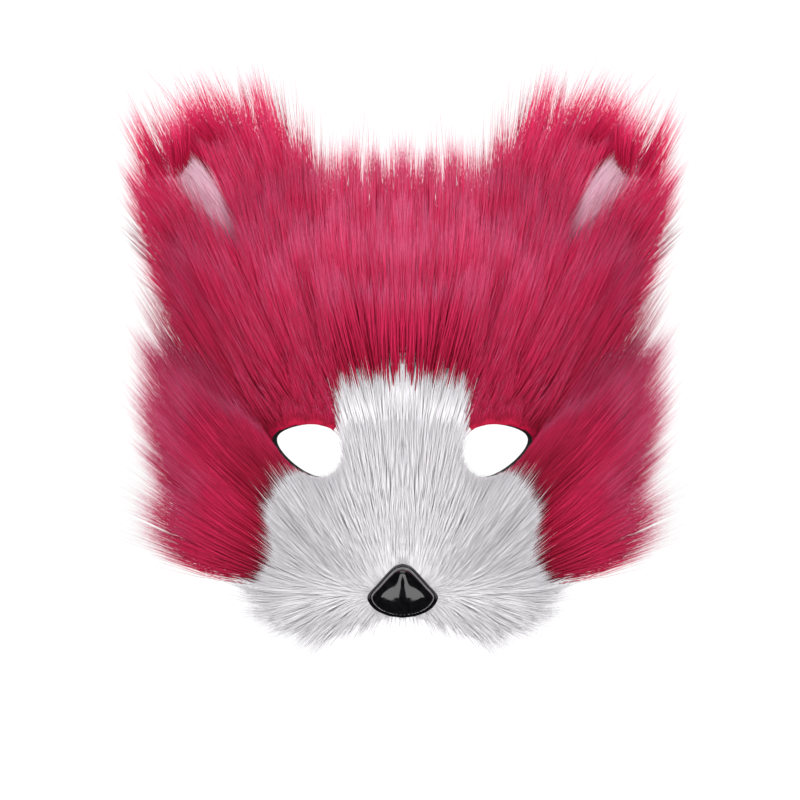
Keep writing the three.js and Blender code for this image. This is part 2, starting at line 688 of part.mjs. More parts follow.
const foam = { color: 0x151316, roughness: 0.9 };
const pink = { color: 0xc2335f, roughness: 0.75 };
const white = { color: 0xe2dfe3, roughness: 0.75 };
const pale = { color: 0xd9a3b8, roughness: 0.75 };
const plastic = { color: 0x050505, roughness: 0.08 };
const elastic = { color: 0x1c1a1d, roughness: 0.8 };

const fox = new THREE.Group();

// Adds a solid as one named mesh.
function add(name, solid, look) {
  const geometry = geometryOf(solid);
  geometry.computeVertexNormals();
  const mesh = new THREE.Mesh(geometry, new THREE.MeshStandardMaterial({ metalness: 0, ...look }));
  mesh.name = name;
  fox.add(mesh);
}

const holes = eyeHoles(0);
const furHoles = eyeHoles(0.8);
const core = behind(FOAM_WALL + GAP + 0.3 * BACKING);
const backOfNose = face(0, placeOn(0, -NOSE_DROP).rise, FOAM_WALL + GAP + BACKING).y - GAP - 1;
const noseRoom = frontPrism(noseOutline(1 + (2 * GAP) / NOSE_HEIGHT), -REACH, backOfNose + GAP);

add("mask_base", mainBody(faceWall(0, FOAM_WALL).subtract(holes).subtract(postHole())), foam);
const muzzleRoom = frontPrism(grown(muzzleOutline, GAP));

const forehead = furPanel(foreheadOutline, foreheadPile, 9, 8, core).subtract(muzzleRoom);
const muzzle = furPanel(muzzleOutline, muzzlePile, 9, 8, core).subtract(noseRoom).subtract(postHole());
const cheek = furPanel(cheekOutline, cheekPile, 10, 10, core).subtract(muzzleRoom);
add("forehead_fur", mainBody(forehead.subtract(furHoles)), pink);
add("muzzle_fur", mainBody(muzzle.subtract(furHoles)), white);
for (const [name, solid, look] of [
  ["cheek_fur", mainBody(cheek.subtract(furHoles)), pink],
  ["ear", ear(core), pink],
  ["inner_ear", innerEar(core), pale],
]) {
  add(name + "_left", mirroredSolid(solid), look);
  add(name + "_right", solid, look);
}
add("nose", nose(backOfNose), plastic);
add("strap", strap(), elastic);

export default fox;
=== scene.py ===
"""The looks of a plush fox half mask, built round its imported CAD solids. Lengths in the code are in millimetres, and
each mesh is turned into metres when it is made. +Z is up and the mask looks along -Y."""

import bpy
import numpy as np
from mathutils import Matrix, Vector
from mathutils.kdtree import KDTree

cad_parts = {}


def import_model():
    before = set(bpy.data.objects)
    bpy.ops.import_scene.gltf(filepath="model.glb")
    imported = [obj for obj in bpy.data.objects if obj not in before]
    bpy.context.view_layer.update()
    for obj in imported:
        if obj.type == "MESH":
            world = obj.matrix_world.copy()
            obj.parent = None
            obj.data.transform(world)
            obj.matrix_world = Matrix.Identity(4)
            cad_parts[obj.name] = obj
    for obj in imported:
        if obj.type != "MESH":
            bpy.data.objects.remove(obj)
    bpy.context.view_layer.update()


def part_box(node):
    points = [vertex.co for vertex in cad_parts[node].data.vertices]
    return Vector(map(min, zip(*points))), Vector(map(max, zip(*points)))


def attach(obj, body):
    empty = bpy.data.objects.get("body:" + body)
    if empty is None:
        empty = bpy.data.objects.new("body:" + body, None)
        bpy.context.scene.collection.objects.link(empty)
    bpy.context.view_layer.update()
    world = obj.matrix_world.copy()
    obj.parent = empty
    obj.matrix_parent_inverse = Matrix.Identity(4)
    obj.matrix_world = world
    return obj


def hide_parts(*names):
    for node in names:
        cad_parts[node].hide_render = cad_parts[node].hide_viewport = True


MM = 0.001
SEED = 7

# The foam wall that follows the face, as the solids have it
FACE_HALF_WIDTH = 82
FACE_DEPTH = 62
WRAP_DEG = 76
FOREHEAD_HEIGHT = 100
MUZZLE_DROP = 86
FOAM_WALL = 5
GAP = 0.3
BACKING = 2
SNOUT_REACH = 44
SNOUT_HALF_WIDTH = 34
SNOUT_DROP = 62
SNOUT_SQUARENESS = 2.4

# The eye holes
EYE_X = 48
EYE_Z = 0.8
EYE_LENGTH = 38
EYE_HEIGHT = 25
EYE_TILT_DEG = 15
EYE_POINT = 0.32
EYE_SETBACK = 4
EYE_SOCKET_RADIUS = 24

# The lengths of the pile. Its thin ends reach a little past the locks of the solids.
FOREHEAD_PILE = 61
TEMPLE_PILE = 95
CHEEK_PILE = 84
MUZZLE_PILE = 34
NOSE_PILE = 10
EAR_PILE = 40
INNER_EAR_PILE = 34
INNER_EAR_SPILL = 8
SHORTEST_PILE = 4
WHITE_SPILL = 3
WHITE_CREST = 17
# How far the colours of two panels mix at their seam
SEAM_BLEND = 4.5
# Where the outermost hairs end in the front view
FRINGE_SIDE = 152
FRINGE_TOP = 206
FRINGE_FOOT = -110

# The ears
EAR_SEAT = np.array([63.0, 40.0, 62.0])
EAR_HEIGHT = 94
EAR_WIDTH = 90
EAR_LEAN_DEG = 25
EAR_CUP = 11
EAR_WALL = 5
INNER_EAR_LENGTH = 54
INNER_EAR_WIDTH = 20
INNER_EAR_RISE = 0.72
INNER_EAR_OVER = 0.18
INNER_EAR_LEAN_DEG = 34
EAR_BRUSH_INSET = 33
EAR_BRUSH_DROP = 5

# The nose
NOSE_WIDTH = 33.5
NOSE_HEIGHT = 26
NOSE_DEPTH = 13
NOSE_RIDGE = 1.4
NOSE_DROP = 66

# The strap
STRAP_WIDTH = 20
STRAP_THICKNESS = 1.5
STRAP_HEIGHT = 31
STRAP_START = 0.76
STRAP_SEWN_SHARE = 0.1
HEAD_BACK = 182

# Tables of the solids: each row is a place and a value
SECTION_WIDTH = [(-1, 0.82), (-0.5, 0.95), (0, 1), (0.4, 1), (0.72, 0.93), (1, 0.82)]
SECTION_SETBACK = [(-1, 0.06), (-0.5, 0), (0, 0), (0.4, 0.02), (0.72, 0.13), (1, 0.34)]
TOP_EDGE = [(0, 1), (0.12, 1), (0.32, 1), (0.55, 0.98), (0.78, 0.88), (1, 0.64)]
BOTTOM_EDGE = [(0, 0.87), (0.12, 0.94), (0.32, 1), (0.55, 0.98), (0.78, 0.87), (1, 0.64)]
SNOUT_RIDGE = [(0, 0), (0.25, 0.14), (0.55, 0.56), (0.85, 0.93), (1.05, 1), (1.4, 0.94)]
EAR_OUTLINE = [(0, 0.95), (0.25, 1), (0.5, 0.95), (0.75, 0.78), (0.92, 0.5), (1, 0.25)]
# The pile's length over the ear, from its inner edge, -1, to its outer edge, 1
EAR_TIP_REACH = [(-1, 1.45), (-0.5, 1.05), (0, 0.9), (0.5, 1.1), (1, 1.6)]
EAR_FOOT_REACH = [(-1, 1.65), (-0.6, 1.3), (0, 1.1), (1, 0.95)]
NOSE_OUTLINE = [(0, 0), (0.03, 0.36), (0.14, 0.76), (0.3, 0.98), (0.42, 0.99), (0.62, 0.72), (0.85, 0.4)]
NOSE_OUTLINE += [(0.96, 0.2), (1, 0)]

FAR = 400

# Camera: as far off as the photograph's, with half a millimetre a pixel on the eye line
CAMERA_DISTANCE = 1150
CAMERA_X = -1.25
CAMERA_Z = 25
FRAME_WIDTH = 400
FLOOR_Z = -330


def mix(a, b, share):
    return a + (b - a) * share


def ease(low, high, value):
    t = np.clip((value - low) / (high - low), 0, 1)
    return t * t * (3 - 2 * t)


def unit(v):
    return v / np.maximum(np.linalg.norm(v, axis=-1, keepdims=True), 1e-9)


def stacked(x, y, z):
    return np.stack(np.broadcast_arrays(x, y, z), axis=-1).astype(float)


def smooth(table, value):
    """A smooth curve through a table, as the solids have it."""
    xs, ys = np.array(table, float).T
    last = len(xs) - 1
    i = np.arange(last + 1)
    before = np.maximum(i - 1, 0)
    after = np.minimum(i + 1, last)
    slope = (ys[after] - ys[before]) / (xs[after] - xs[before])
    x = np.clip(value, xs[0], xs[-1])
    k = np.clip(np.searchsorted(xs, x) - 1, 0, last - 1)
    span = xs[k + 1] - xs[k]
    t = (x - xs[k]) / span
    t2 = t * t
    t3 = t2 * t
    rise = (2 * t3 - 3 * t2 + 1) * ys[k] + (3 * t2 - 2 * t3) * ys[k + 1]
    return rise + ((t3 - 2 * t2 + t) * slope[k] + (t3 - t2) * slope[k + 1]) * span


# The surfaces of the solids


def relief(x, z):
    snout = SNOUT_REACH * smooth(SNOUT_RIDGE, -z / SNOUT_DROP)
    across = np.exp(-((np.abs(x) / SNOUT_HALF_WIDTH) ** SNOUT_SQUARENESS))
    from_eye = np.hypot(np.abs(x) - EYE_X, z - EYE_Z) / EYE_SOCKET_RADIUS
    return EYE_SETBACK * np.exp(-from_eye * from_eye) - snout * across


def edge_heights(side):
    out = np.abs(side)
    return -MUZZLE_DROP * smooth(BOTTOM_EDGE, out), FOREHEAD_HEIGHT * smooth(TOP_EDGE, out)


def inner_face(side, rise):
    bottom, top = edge_heights(side)
    z = mix(bottom, top, rise)
    height = np.where(z > 0, z / FOREHEAD_HEIGHT, z / MUZZLE_DROP)
    angle = np.radians(WRAP_DEG) * side
    x = FACE_HALF_WIDTH * smooth(SECTION_WIDTH, height) * np.sin(angle)
    y = FACE_DEPTH * (smooth(SECTION_SETBACK, height) + 1 - np.cos(angle))
    return stacked(x, y + relief(x, z), z)


def face_normal(side, rise):
    step = 0.01
    du = inner_face(side + step, rise) - inner_face(side - step, rise)
    dv = inner_face(side, rise + step) - inner_face(side, rise - step)
    return unit(np.cross(du, dv))


def face(side, rise, depth):
    return inner_face(side, rise) + face_normal(side, rise) * np.asarray(depth, float)[..., None]


def leaning(degrees):
    """The direction that leans out by an angle in the front view, and the one across it."""
    a = np.radians(degrees)
    return np.array([np.sin(a), 0, np.cos(a)]), np.array([np.cos(a), 0, -np.sin(a)])


EAR_UP, EAR_ACROSS = leaning(EAR_LEAN_DEG)
LINING_UP, LINING_ACROSS = leaning(INNER_EAR_LEAN_DEG)


def ear_point(rise, over, depth):
    rise, over, depth = np.broadcast_arrays(rise, over, depth)
    cupped = EAR_CUP * (1 - over**2) * (1 - 0.6 * rise)
    half = EAR_WIDTH / 2 * smooth(EAR_OUTLINE, rise)
    place = EAR_SEAT + EAR_UP * (EAR_HEIGHT * rise)[..., None] + EAR_ACROSS * (half * over)[..., None]
    place[..., 1] += cupped + depth
    return place


def ear_place(points):
    """How far up the ear and across it points of the front view lie."""
    leaf = points - EAR_SEAT
    rise = (leaf @ EAR_UP) / EAR_HEIGHT
    return rise, (leaf @ EAR_ACROSS) / (EAR_WIDTH / 2 * smooth(EAR_OUTLINE, rise))


LINING_CENTRE = ear_point(INNER_EAR_RISE, INNER_EAR_OVER, 0)


def eye_radius(x, z):
    """1 on the eye hole's edge, less inside it and more outside."""
    tilt = np.radians(EYE_TILT_DEG)
    dx = np.abs(x) - EYE_X
    dz = z - EYE_Z
    along = (dx * np.cos(tilt) + dz * np.sin(tilt)) / (EYE_LENGTH / 2)
    up = (-dx * np.sin(tilt) + dz * np.cos(tilt)) / (EYE_HEIGHT / 2)
    return np.hypot(along, up / (1 - EYE_POINT * np.clip(along, -1, 1)))


def eye_ring(margin, steps):
    """The eye hole's outline in the front view."""
    tilt = np.radians(EYE_TILT_DEG)
    a = np.linspace(0, 2 * np.pi, steps, endpoint=False)
    x = (EYE_LENGTH / 2 + margin) * np.cos(a)
    z = (EYE_HEIGHT / 2 + margin) * np.sin(a) * (1 - EYE_POINT * np.cos(a))
    return EYE_X + x * np.cos(tilt) - z * np.sin(tilt), EYE_Z + x * np.sin(tilt) + z * np.cos(tilt)


def lining_place(x, z):
    """How far along the pale lining points are, from -1 to 1, and their radius: 1 on its edge."""
    dx = x - LINING_CENTRE[0]
    dz = z - LINING_CENTRE[2]
    along = (dx * LINING_UP[0] + dz * LINING_UP[2]) / (INNER_EAR_LENGTH / 2)
    over = (dx * LINING_ACROSS[0] + dz * LINING_ACROSS[2]) / (INNER_EAR_WIDTH / 2)
    return along, np.hypot(along, over)


# The panels that the fur is cut into, in the front view of the right half

EYE_OUTER = EYE_X + EYE_LENGTH / 2
EYE_INNER = EYE_X - EYE_LENGTH / 2
EYE_FOOT = EYE_Z - EYE_HEIGHT / 2
PATCH_TOP = 0.27 * FOREHEAD_HEIGHT
CHEEK_CORNER = (EYE_OUTER + 0.45 * EYE_LENGTH, EYE_Z + 0.04 * EYE_HEIGHT)
SEAM_TOP = (EAR_SEAT[0] - 0.26 * EAR_WIDTH, EAR_SEAT[2] + 0.36 * EAR_HEIGHT)
SEAM_MIDDLE = (EAR_SEAT[0] - 0.07 * EAR_WIDTH, EAR_SEAT[2])
SEAM_FOOT = (EAR_SEAT[0] + 0.23 * EAR_WIDTH, EAR_SEAT[2] - 0.3 * EAR_HEIGHT)
CHEEK_RAY = CHEEK_CORNER[1] + 0.8 * (FAR - CHEEK_CORNER[0])
EAR_RAY = SEAM_FOOT[1] + 0.85 * (FAR - SEAM_FOOT[0])
# How far the roots of each half reach over the middle
OVERLAP = 2

MUZZLE = [
    (-OVERLAP, PATCH_TOP),
    (EYE_INNER - 0.1 * EYE_LENGTH, PATCH_TOP),
    (EYE_INNER + 0.05 * EYE_LENGTH, 0.8 * PATCH_TOP),
    (EYE_INNER + 0.03 * EYE_LENGTH, EYE_Z),
    (EYE_X, EYE_Z - 0.08 * EYE_HEIGHT),
    (EYE_X + 0.1 * EYE_LENGTH, EYE_FOOT - 0.08 * EYE_HEIGHT),
    (EYE_OUTER - 0.12 * EYE_LENGTH, EYE_FOOT - 0.42 * EYE_HEIGHT),
    (0.82 * FACE_HALF_WIDTH, -0.4 * MUZZLE_DROP),
    (0.78 * FACE_HALF_WIDTH, -0.52 * MUZZLE_DROP),
    (0.8 * FACE_HALF_WIDTH, -0.68 * MUZZLE_DROP),
    (0.87 * FACE_HALF_WIDTH, -0.8 * MUZZLE_DROP),
    (1.55 * FACE_HALF_WIDTH, -0.95 * MUZZLE_DROP),
    (1.55 * FACE_HALF_WIDTH, -FAR),
    (-OVERLAP, -FAR),
]
FOREHEAD = [
    (-OVERLAP, 0),
    (EYE_X, EYE_Z),
    (EYE_OUTER - 1, EYE_Z + 4),
    CHEEK_CORNER,
    (FAR, CHEEK_RAY),
    (FAR, EAR_RAY),
    SEAM_FOOT,
    SEAM_MIDDLE,
    SEAM_TOP,
    (SEAM_TOP[0], FAR),
    (-OVERLAP, FAR),
]
CHEEK = [(EYE_X, EYE_Z), (EYE_X, -FAR), (FAR, -FAR), (FAR, CHEEK_RAY), CHEEK_CORNER, (EYE_OUTER - 1, EYE_Z + 4)]
EAR_CORNER = [(SEAM_TOP[0], FAR), SEAM_TOP, SEAM_MIDDLE, SEAM_FOOT, (FAR, EAR_RAY), (FAR, FAR)]


def inside(x, z, outline):
    odd = np.zeros(x.shape, bool)
    for (ax, az), (bx, bz) in zip(outline, outline[1:] + outline[:1]):
        if az == bz:
            continue
        crosses = (az > z) != (bz > z)
        odd ^= crosses & (x < (bx - ax) * (z - az) / (bz - az) + ax)
    return odd


# Lengths and directions of the pile


def brushed(x, z):
    away = unit(stacked(x, 0, z + 1.02 * MUZZLE_DROP))
    out = np.abs(x) / FACE_HALF_WIDTH
    straight = ease(0, FOREHEAD_HEIGHT, z) * (1 - ease(0.4, 0.9, out))
    down = ease(0.88, 1.15, -z / NOSE_DROP) * (1 - ease(0.37, 0.85, out))
    sag = ease(0.5, 0.8, -z / MUZZLE_DROP) * ease(0.75, 1, out)
    away = away - stacked(0, 0, 0.35 * sag)
    flow = mix(away, np.array([0, 0, 1.0]), 0.75 * straight[..., None])
    below = unit(stacked(x * 0.9, 0, z + 0.91 * NOSE_DROP))
    return unit(mix(flow, below, down[..., None]))


def ear_brush(x, z):
    return unit(stacked(x - EAR_BRUSH_INSET, 0, z + EAR_BRUSH_DROP))


def eye_trim(x, z):
    away = np.hypot(np.abs(x) - EYE_X, z - EYE_Z - 4)
    return mix(0.12, 1, ease(EYE_HEIGHT / 2, EYE_LENGTH * 0.9, away))


def way_to(x, z, flow, there, furthest):
    """How far each point is, along its brushed way, from the first place that there says yes to."""
    reach = np.full(x.shape, float(furthest))
    for step in np.arange(60, 0, -3):
        reach = np.where(there(x + flow[..., 0] * step, z + flow[..., 2] * step), step, reach)
    return reach


def muzzle_pile(x, z):
    """The white pile ends soon after it reaches the coloured fur beside it, and later on the forehead."""
    from_nose = np.hypot(x, z + NOSE_DROP)
    whole = mix(NOSE_PILE, MUZZLE_PILE, ease(NOSE_WIDTH / 2, 1.7 * NOSE_WIDTH, from_nose))
    jowl = ease(0.5, 0.9, np.abs(x) / FACE_HALF_WIDTH) * ease(0.6, 0.75, -z / MUZZLE_DROP)
    whole = whole * (1 - 0.35 * jowl)
    spill = mix(WHITE_SPILL, WHITE_CREST, ease(0, PATCH_TOP, z))
    outside = lambda px, pz: ~inside(px, pz, MUZZLE)
    to_edge = way_to(x, z, brushed(x, z), outside, MUZZLE_PILE)
    return np.minimum(whole, np.maximum(to_edge + spill, SHORTEST_PILE))


def clear_of_lining(x, z, flow, length):
    """Shortens the pile that would lie over the pale lining below its upper end."""

    def on_lining(px, pz):
        along, radius = lining_place(px, pz)
        return (radius < 0.8) & (along < 0.5)

    return np.maximum(np.minimum(way_to(x, z, flow, on_lining, FAR), length), SHORTEST_PILE)


def ear_pile(x, z):
    return clear_of_lining(x, z, ear_brush(x, z), ear_reach(x, z))


def ear_corner_pile(x, z):
    return clear_of_lining(x, z, brushed(x, z), forehead_pile(x, z))


def ear_reach(x, z):
    """The ear's pile is longer at both corners of the tip, and shorter down the outer side."""
    rise, over = ear_place(stacked(x, 0, z))
    return EAR_PILE * mix(smooth(EAR_FOOT_REACH, over), smooth(EAR_TIP_REACH, over), ease(0.4, 0.9, rise))


def forehead_pile(x, z):
    temple = ease(0.6, 1, np.abs(x) / FACE_HALF_WIDTH) * (1 - ease(0.5, 0.8, z / FOREHEAD_HEIGHT))
    return mix(FOREHEAD_PILE, TEMPLE_PILE, temple) * eye_trim(x, z)


def cheek_pile(x, z):
    return CHEEK_PILE * mix(1, 0.76, ease(0.2, 0.7, -z / MUZZLE_DROP)) * eye_trim(x, z)


# Making meshes


def mesh_of(name, vertices, polygons, uvs=None, material=None):
    """A mesh from millimetres: polygons is a list of arrays, one for each number of corners."""
    polygons = [np.asarray(p, np.int32) for p in polygons if len(p)]
    mesh = bpy.data.meshes.new(name)
    mesh.vertices.add(len(vertices))
    mesh.vertices.foreach_set("co", (np.asarray(vertices) * MM).astype(np.float32).ravel())
    loops = np.concatenate([p.ravel() for p in polygons])
    sizes = np.concatenate([np.full(len(p), p.shape[1], np.int32) for p in polygons])
    starts = np.concatenate([[0], np.cumsum(sizes)[:-1]]).astype(np.int32)
    mesh.loops.add(len(loops))
    mesh.loops.foreach_set("vertex_index", loops)
    mesh.polygons.add(len(sizes))
    mesh.polygons.foreach_set("loop_start", starts)
    mesh.polygons.foreach_set("use_smooth", np.ones(len(sizes), bool))
    mesh.update(calc_edges=True)
    mesh.validate()
    if uvs is not None:
        layer = mesh.uv_layers.new(name="OFBake")
        layer.data.foreach_set("uv", np.concatenate([np.asarray(u).reshape(-1, 2) for u in uvs]).astype(np.float32).ravel())
    if material is not None:
        mesh.materials.append(material)
    return mesh


def placed(name, mesh, nodes):
    """A piece of the mask that stands for CAD nodes."""
    piece = bpy.data.objects.new(name, mesh)
    bpy.context.scene.collection.objects.link(piece)
    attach(piece, "root")
    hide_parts(*nodes)
    return piece


def flipped(points):
    return points * np.array([-1, 1, 1])


# Strands: each a closed three-sided hair, with a ring of corners at every station but its tip

STATIONS = np.array([0.0, 0.5, 1.0])
TAPER = np.array([1.0, 0.8])
RINGS = len(TAPER)
CORNERS = np.radians([90, 210, 330])
# How thick a hair is over the pelt, as a share of its width
FLATNESS = 0.45


def spread(rng, count, low, high):
    return rng.uniform(low, high, count)


def grouped(points, count, rng):
    """Evenly spread centres among points in the front view, and which centre each point is nearest to."""
    centres = points[rng.choice(len(points), min(count, len(points)), replace=False)]
    for _ in range(4):
        nearest = nearest_of(points, centres)
        weight = np.bincount(nearest, minlength=len(centres))
        sums = np.stack([np.bincount(nearest, points[:, k], len(centres)) for k in range(3)], axis=1)
        centres = np.where(weight[:, None] > 0, sums / np.maximum(weight, 1)[:, None], centres)
    return nearest_of(points, centres), len(centres)


def nearest_of(points, centres):
    tree = KDTree(len(centres))
    for i, c in enumerate(centres):
        tree.insert(Vector(c), i)
    tree.balance()
    return np.array([tree.find(Vector(p))[1] for p in points])


def averages(values, group, count):
    weight = np.maximum(np.bincount(group, minlength=count), 1)
    if values.ndim == 1:
        return np.bincount(group, values, count) / weight
    sums = np.stack([np.bincount(group, values[:, k], count) for k in range(values.shape[1])], axis=1)
    return sums / weight[:, None]


def hair_paths(root, normal, brush, length, lift_least, bend, at):
    """Points along hairs that leave the surface and lie down along the brushed way."""
    rising = np.sum(brush * normal, axis=-1, keepdims=True)
    lift = np.maximum(lift_least[:, None], 0.8 * np.arcsin(np.clip(rising, -1, 1)))
    along = unit(brush - normal * rising)
    across = np.cross(normal, along)
    t = at[None, :, None]
    reach = length[:, None, None]
    path = root[:, None] + along[:, None] * reach * t * np.cos(lift)[:, None]
    path = path + normal[:, None] * reach * np.sin(lift)[:, None] * t * (1.35 - 0.35 * t)
    return path + across[:, None] * reach * bend[:, None, None] * t * t


def furred(roots, rng, look):
    """Hair paths with their tips gathered into wisps, and the wisps into locks."""
    root, normal, brush, length = roots
    count = len(root)
    lock_of, locks = grouped(root, max(int(count / look["per_lock"]), 1), rng)
    wisp_of, wisps = grouped(root, max(int(count / look["per_wisp"]), 1), rng)
    lock_turn = spread(rng, locks, -1, 1) * look["turn"]
    lock_bend = spread(rng, locks, -1, 1) * look["bend"]
    lock_length = 1 + spread(rng, locks, -1, 1) * look["uneven"]
    lock_lift = np.radians(look["lift"] * (1 + 0.35 * spread(rng, locks, -1, 1)))
    lock_tone = spread(rng, locks, -1, 1)

    def paths(group, groups, home, scatter):
        """Guides of one size: the averages of their hairs, each with its lock's own turn."""
        r = averages(root, group, groups)
        n = unit(averages(normal, group, groups))
        b = averages(brush, group, groups)
        size = averages(length, group, groups) * lock_length[home]
        sideways = np.cross(n, unit(b))
        b = unit(b + sideways * (lock_turn[home] + scatter * spread(rng, groups, -1, 1))[:, None])
        return hair_paths(r, n, b, size, lock_lift[home], lock_bend[home], STATIONS)

    lock_paths = paths(lock_of, locks, np.arange(locks), 0)
    first = np.zeros(wisps, int)
    first[wisp_of] = lock_of
    wisp_paths = paths(wisp_of, wisps, first, look["turn"] * 0.5)
    gather = look["gather"] * STATIONS ** look["gather_late"]
    wisp_paths = mix(wisp_paths, lock_paths[first], gather[None, :, None])
    wisp_length = 1 + spread(rng, wisps, -1, 1) * look["uneven"] * 0.6
    wisp_paths = wisp_paths[:, :1] + (wisp_paths - wisp_paths[:, :1]) * wisp_length[:, None, None]
    home = lock_of
    turn = lock_turn[home] + rng.normal(0, look["stray"], count)
    sideways = np.cross(normal, unit(brush))
    own_brush = unit(brush + sideways * turn[:, None])
    loose = rng.random(count) < look["loose"]
    own_length = length * lock_length[home] * (1 - 0.3 * rng.random(count))
    own_length = own_length * np.where(loose, spread(rng, count, 1, look["loose_length"]), 1)
    own = hair_paths(root, normal, own_brush, own_length, lock_lift[home], lock_bend[home], STATIONS)
    pull = np.where(loose, 0.2, 1.0) * spread(rng, count, 0.75, 1)
    pull = look["wisp"] * pull[:, None, None] * (STATIONS ** look["wisp_late"])[None, :, None]
    path = mix(own, wisp_paths[wisp_of], pull)
    wave = rng.normal(0, look["wave"], (count, len(STATIONS), 3)) * STATIONS[None, :, None]
    return path + wave, lock_tone[lock_of], np.where(loose, look["loose_width"], 1)


def trimmed(path, rng):
    """Cuts each hair short where it reaches over an eye hole or past the fringe, and says what share is left."""
    ts = np.linspace(0, 1, 17)
    dense = interpolated(path, ts)
    x, z = dense[..., 0], dense[..., 2]
    over = eye_radius(x, z) < spread(rng, len(path), 0.88, 1.0)[:, None]
    fringe = spread(rng, len(path), 0.93, 1)[:, None]
    over |= (np.abs(x) > FRINGE_SIDE * fringe) | (z > FRINGE_TOP * fringe) | (z < FRINGE_FOOT * fringe)
    first = np.where(over.any(axis=1), over.argmax(axis=1), len(ts) - 1)
    share = np.where(over.any(axis=1), np.maximum(ts[first] - 0.06, 0), 1)
    wanted = np.clip(STATIONS[None] * share[:, None], 0, 1)
    cut = interpolated_each(path, wanted)
    return cut, share


def interpolated(path, ts):
    return interpolated_each(path, np.broadcast_to(ts, (len(path), len(ts))))


def interpolated_each(path, ts):
    """Points of each path at its own shares of its length."""
    k = np.clip(np.searchsorted(STATIONS, ts, side="right") - 1, 0, len(STATIONS) - 2)
    t = (ts - STATIONS[k]) / (STATIONS[k + 1] - STATIONS[k])
    rows = np.arange(len(path))[:, None]
    return mix(path[rows, k], path[rows, k + 1], t[..., None])


def strand_parts(path, normal, width, tone, pelt):
    """Vertices, quads, triangles and their places in the colour map, for closed hairs along paths. The pelt's own
    normal is mixed into each hair's by a share."""
    count = len(path)
    forward = np.empty_like(path)
    forward[:, 0] = path[:, 1] - path[:, 0]
    forward[:, 1:-1] = path[:, 2:] - path[:, :-2]
    forward[:, -1] = path[:, -1] - path[:, -2]
    forward = unit(forward)
    across = unit(np.cross(normal[:, None], forward))
    up = np.cross(forward, across)
    ring = np.cos(CORNERS)[:, None] * across[:, :RINGS, None]
    ring = ring + FLATNESS * np.sin(CORNERS)[:, None] * up[:, :RINGS, None]
    thick = width[:, None] * TAPER / 2
    vertices = path[:, :RINGS, None] + ring * thick[..., None, None]
    vertices = np.concatenate([vertices.reshape(count, -1, 3), path[:, RINGS:]], axis=1).reshape(-1, 3)
    lit = unit(ring + pelt * up[:, :RINGS, None])
    lit_tip = unit(forward[:, RINGS:] + pelt * up[:, RINGS:])
    lit = np.concatenate([lit.reshape(count, -1, 3), lit_tip], axis=1).reshape(-1, 3)
    tip = 3 * RINGS
    base = (np.arange(count) * (tip + 1))[:, None]
    around = [(k, (k + 1) % 3) for k in range(3)]
    quad_index = np.array([[r + a, r + b, r + 3 + b, r + 3 + a] for r in range(0, tip - 3, 3) for a, b in around])
    tip_index = np.array([[tip - 3 + a, tip - 3 + b, tip] for a, b in around] + [[2, 1, 0]])
    offset = np.array([-0.004, 0.0, 0.004] * RINGS + [0.0])
    along = np.concatenate([[0.004, 0.008, 0.012], np.repeat(STATIONS[1:-1], 3), [0.996]])
    tones = np.clip(tone, 0.006, 0.994)[:, None] + offset
    places = np.stack([tones, np.broadcast_to(along, tones.shape)], axis=-1)
    return {
        "vertices": vertices,
        "normals": lit,
        "quads": (base[:, :, None] + quad_index[None]).reshape(-1, 4),
        "tris": (base[:, :, None] + tip_index[None]).reshape(-1, 3),
        "quad_uv": places[:, quad_index].reshape(-1, 2),
        "tri_uv": places[:, tip_index].reshape(-1, 2),
    }


def joined(parts):
    """Several sets of strand parts or sheets as one."""
    start = 0
    out = {key: [] for key in ("vertices", "normals", "quads", "tris", "quad_uv", "tri_uv")}
    for part in parts:
        out["vertices"].append(part["vertices"])
        out["normals"].append(part["normals"])
        out["quads"].append(part["quads"] + start)
        out["tris"].append(part["tris"] + start)
        out["quad_uv"].append(part["quad_uv"])
        out["tri_uv"].append(part["tri_uv"])
        start += len(part["vertices"])
    return {key: np.concatenate(value) for key, value in out.items()}


def mirrored(part):
    """The same parts on the other side of the face."""
    return {
        "vertices": flipped(part["vertices"]),
        "normals": flipped(part["normals"]),
        "quads": part["quads"][:, ::-1],
        "tris": part["tris"][:, ::-1],
        "quad_uv": part["quad_uv"].reshape(-1, 4, 2)[:, ::-1].reshape(-1, 2),
        "tri_uv": part["tri_uv"].reshape(-1, 3, 2)[:, ::-1].reshape(-1, 2),
    }


def fur_mesh(name, part, material):
    mesh = mesh_of(name, part["vertices"], [part["quads"], part["tris"]], [part["quad_uv"], part["tri_uv"]], material)
    mesh.normals_split_custom_set_from_vertices(part["normals"])
    return mesh


def drawn_to_eye(points):
    """Moves points that lie by the edge of an eye hole onto it, in the front view."""
    radius = eye_radius(points[:, 0], points[:, 2])
    near = (radius > 0.8) & (radius < 1.25)
    centre = stacked(EYE_X * np.sign(points[:, 0]), points[:, 1], EYE_Z)
    drawn = centre + (points - centre) * (0.99 / np.maximum(radius, 0.1))[:, None]
    return np.where(near[:, None], drawn, points)


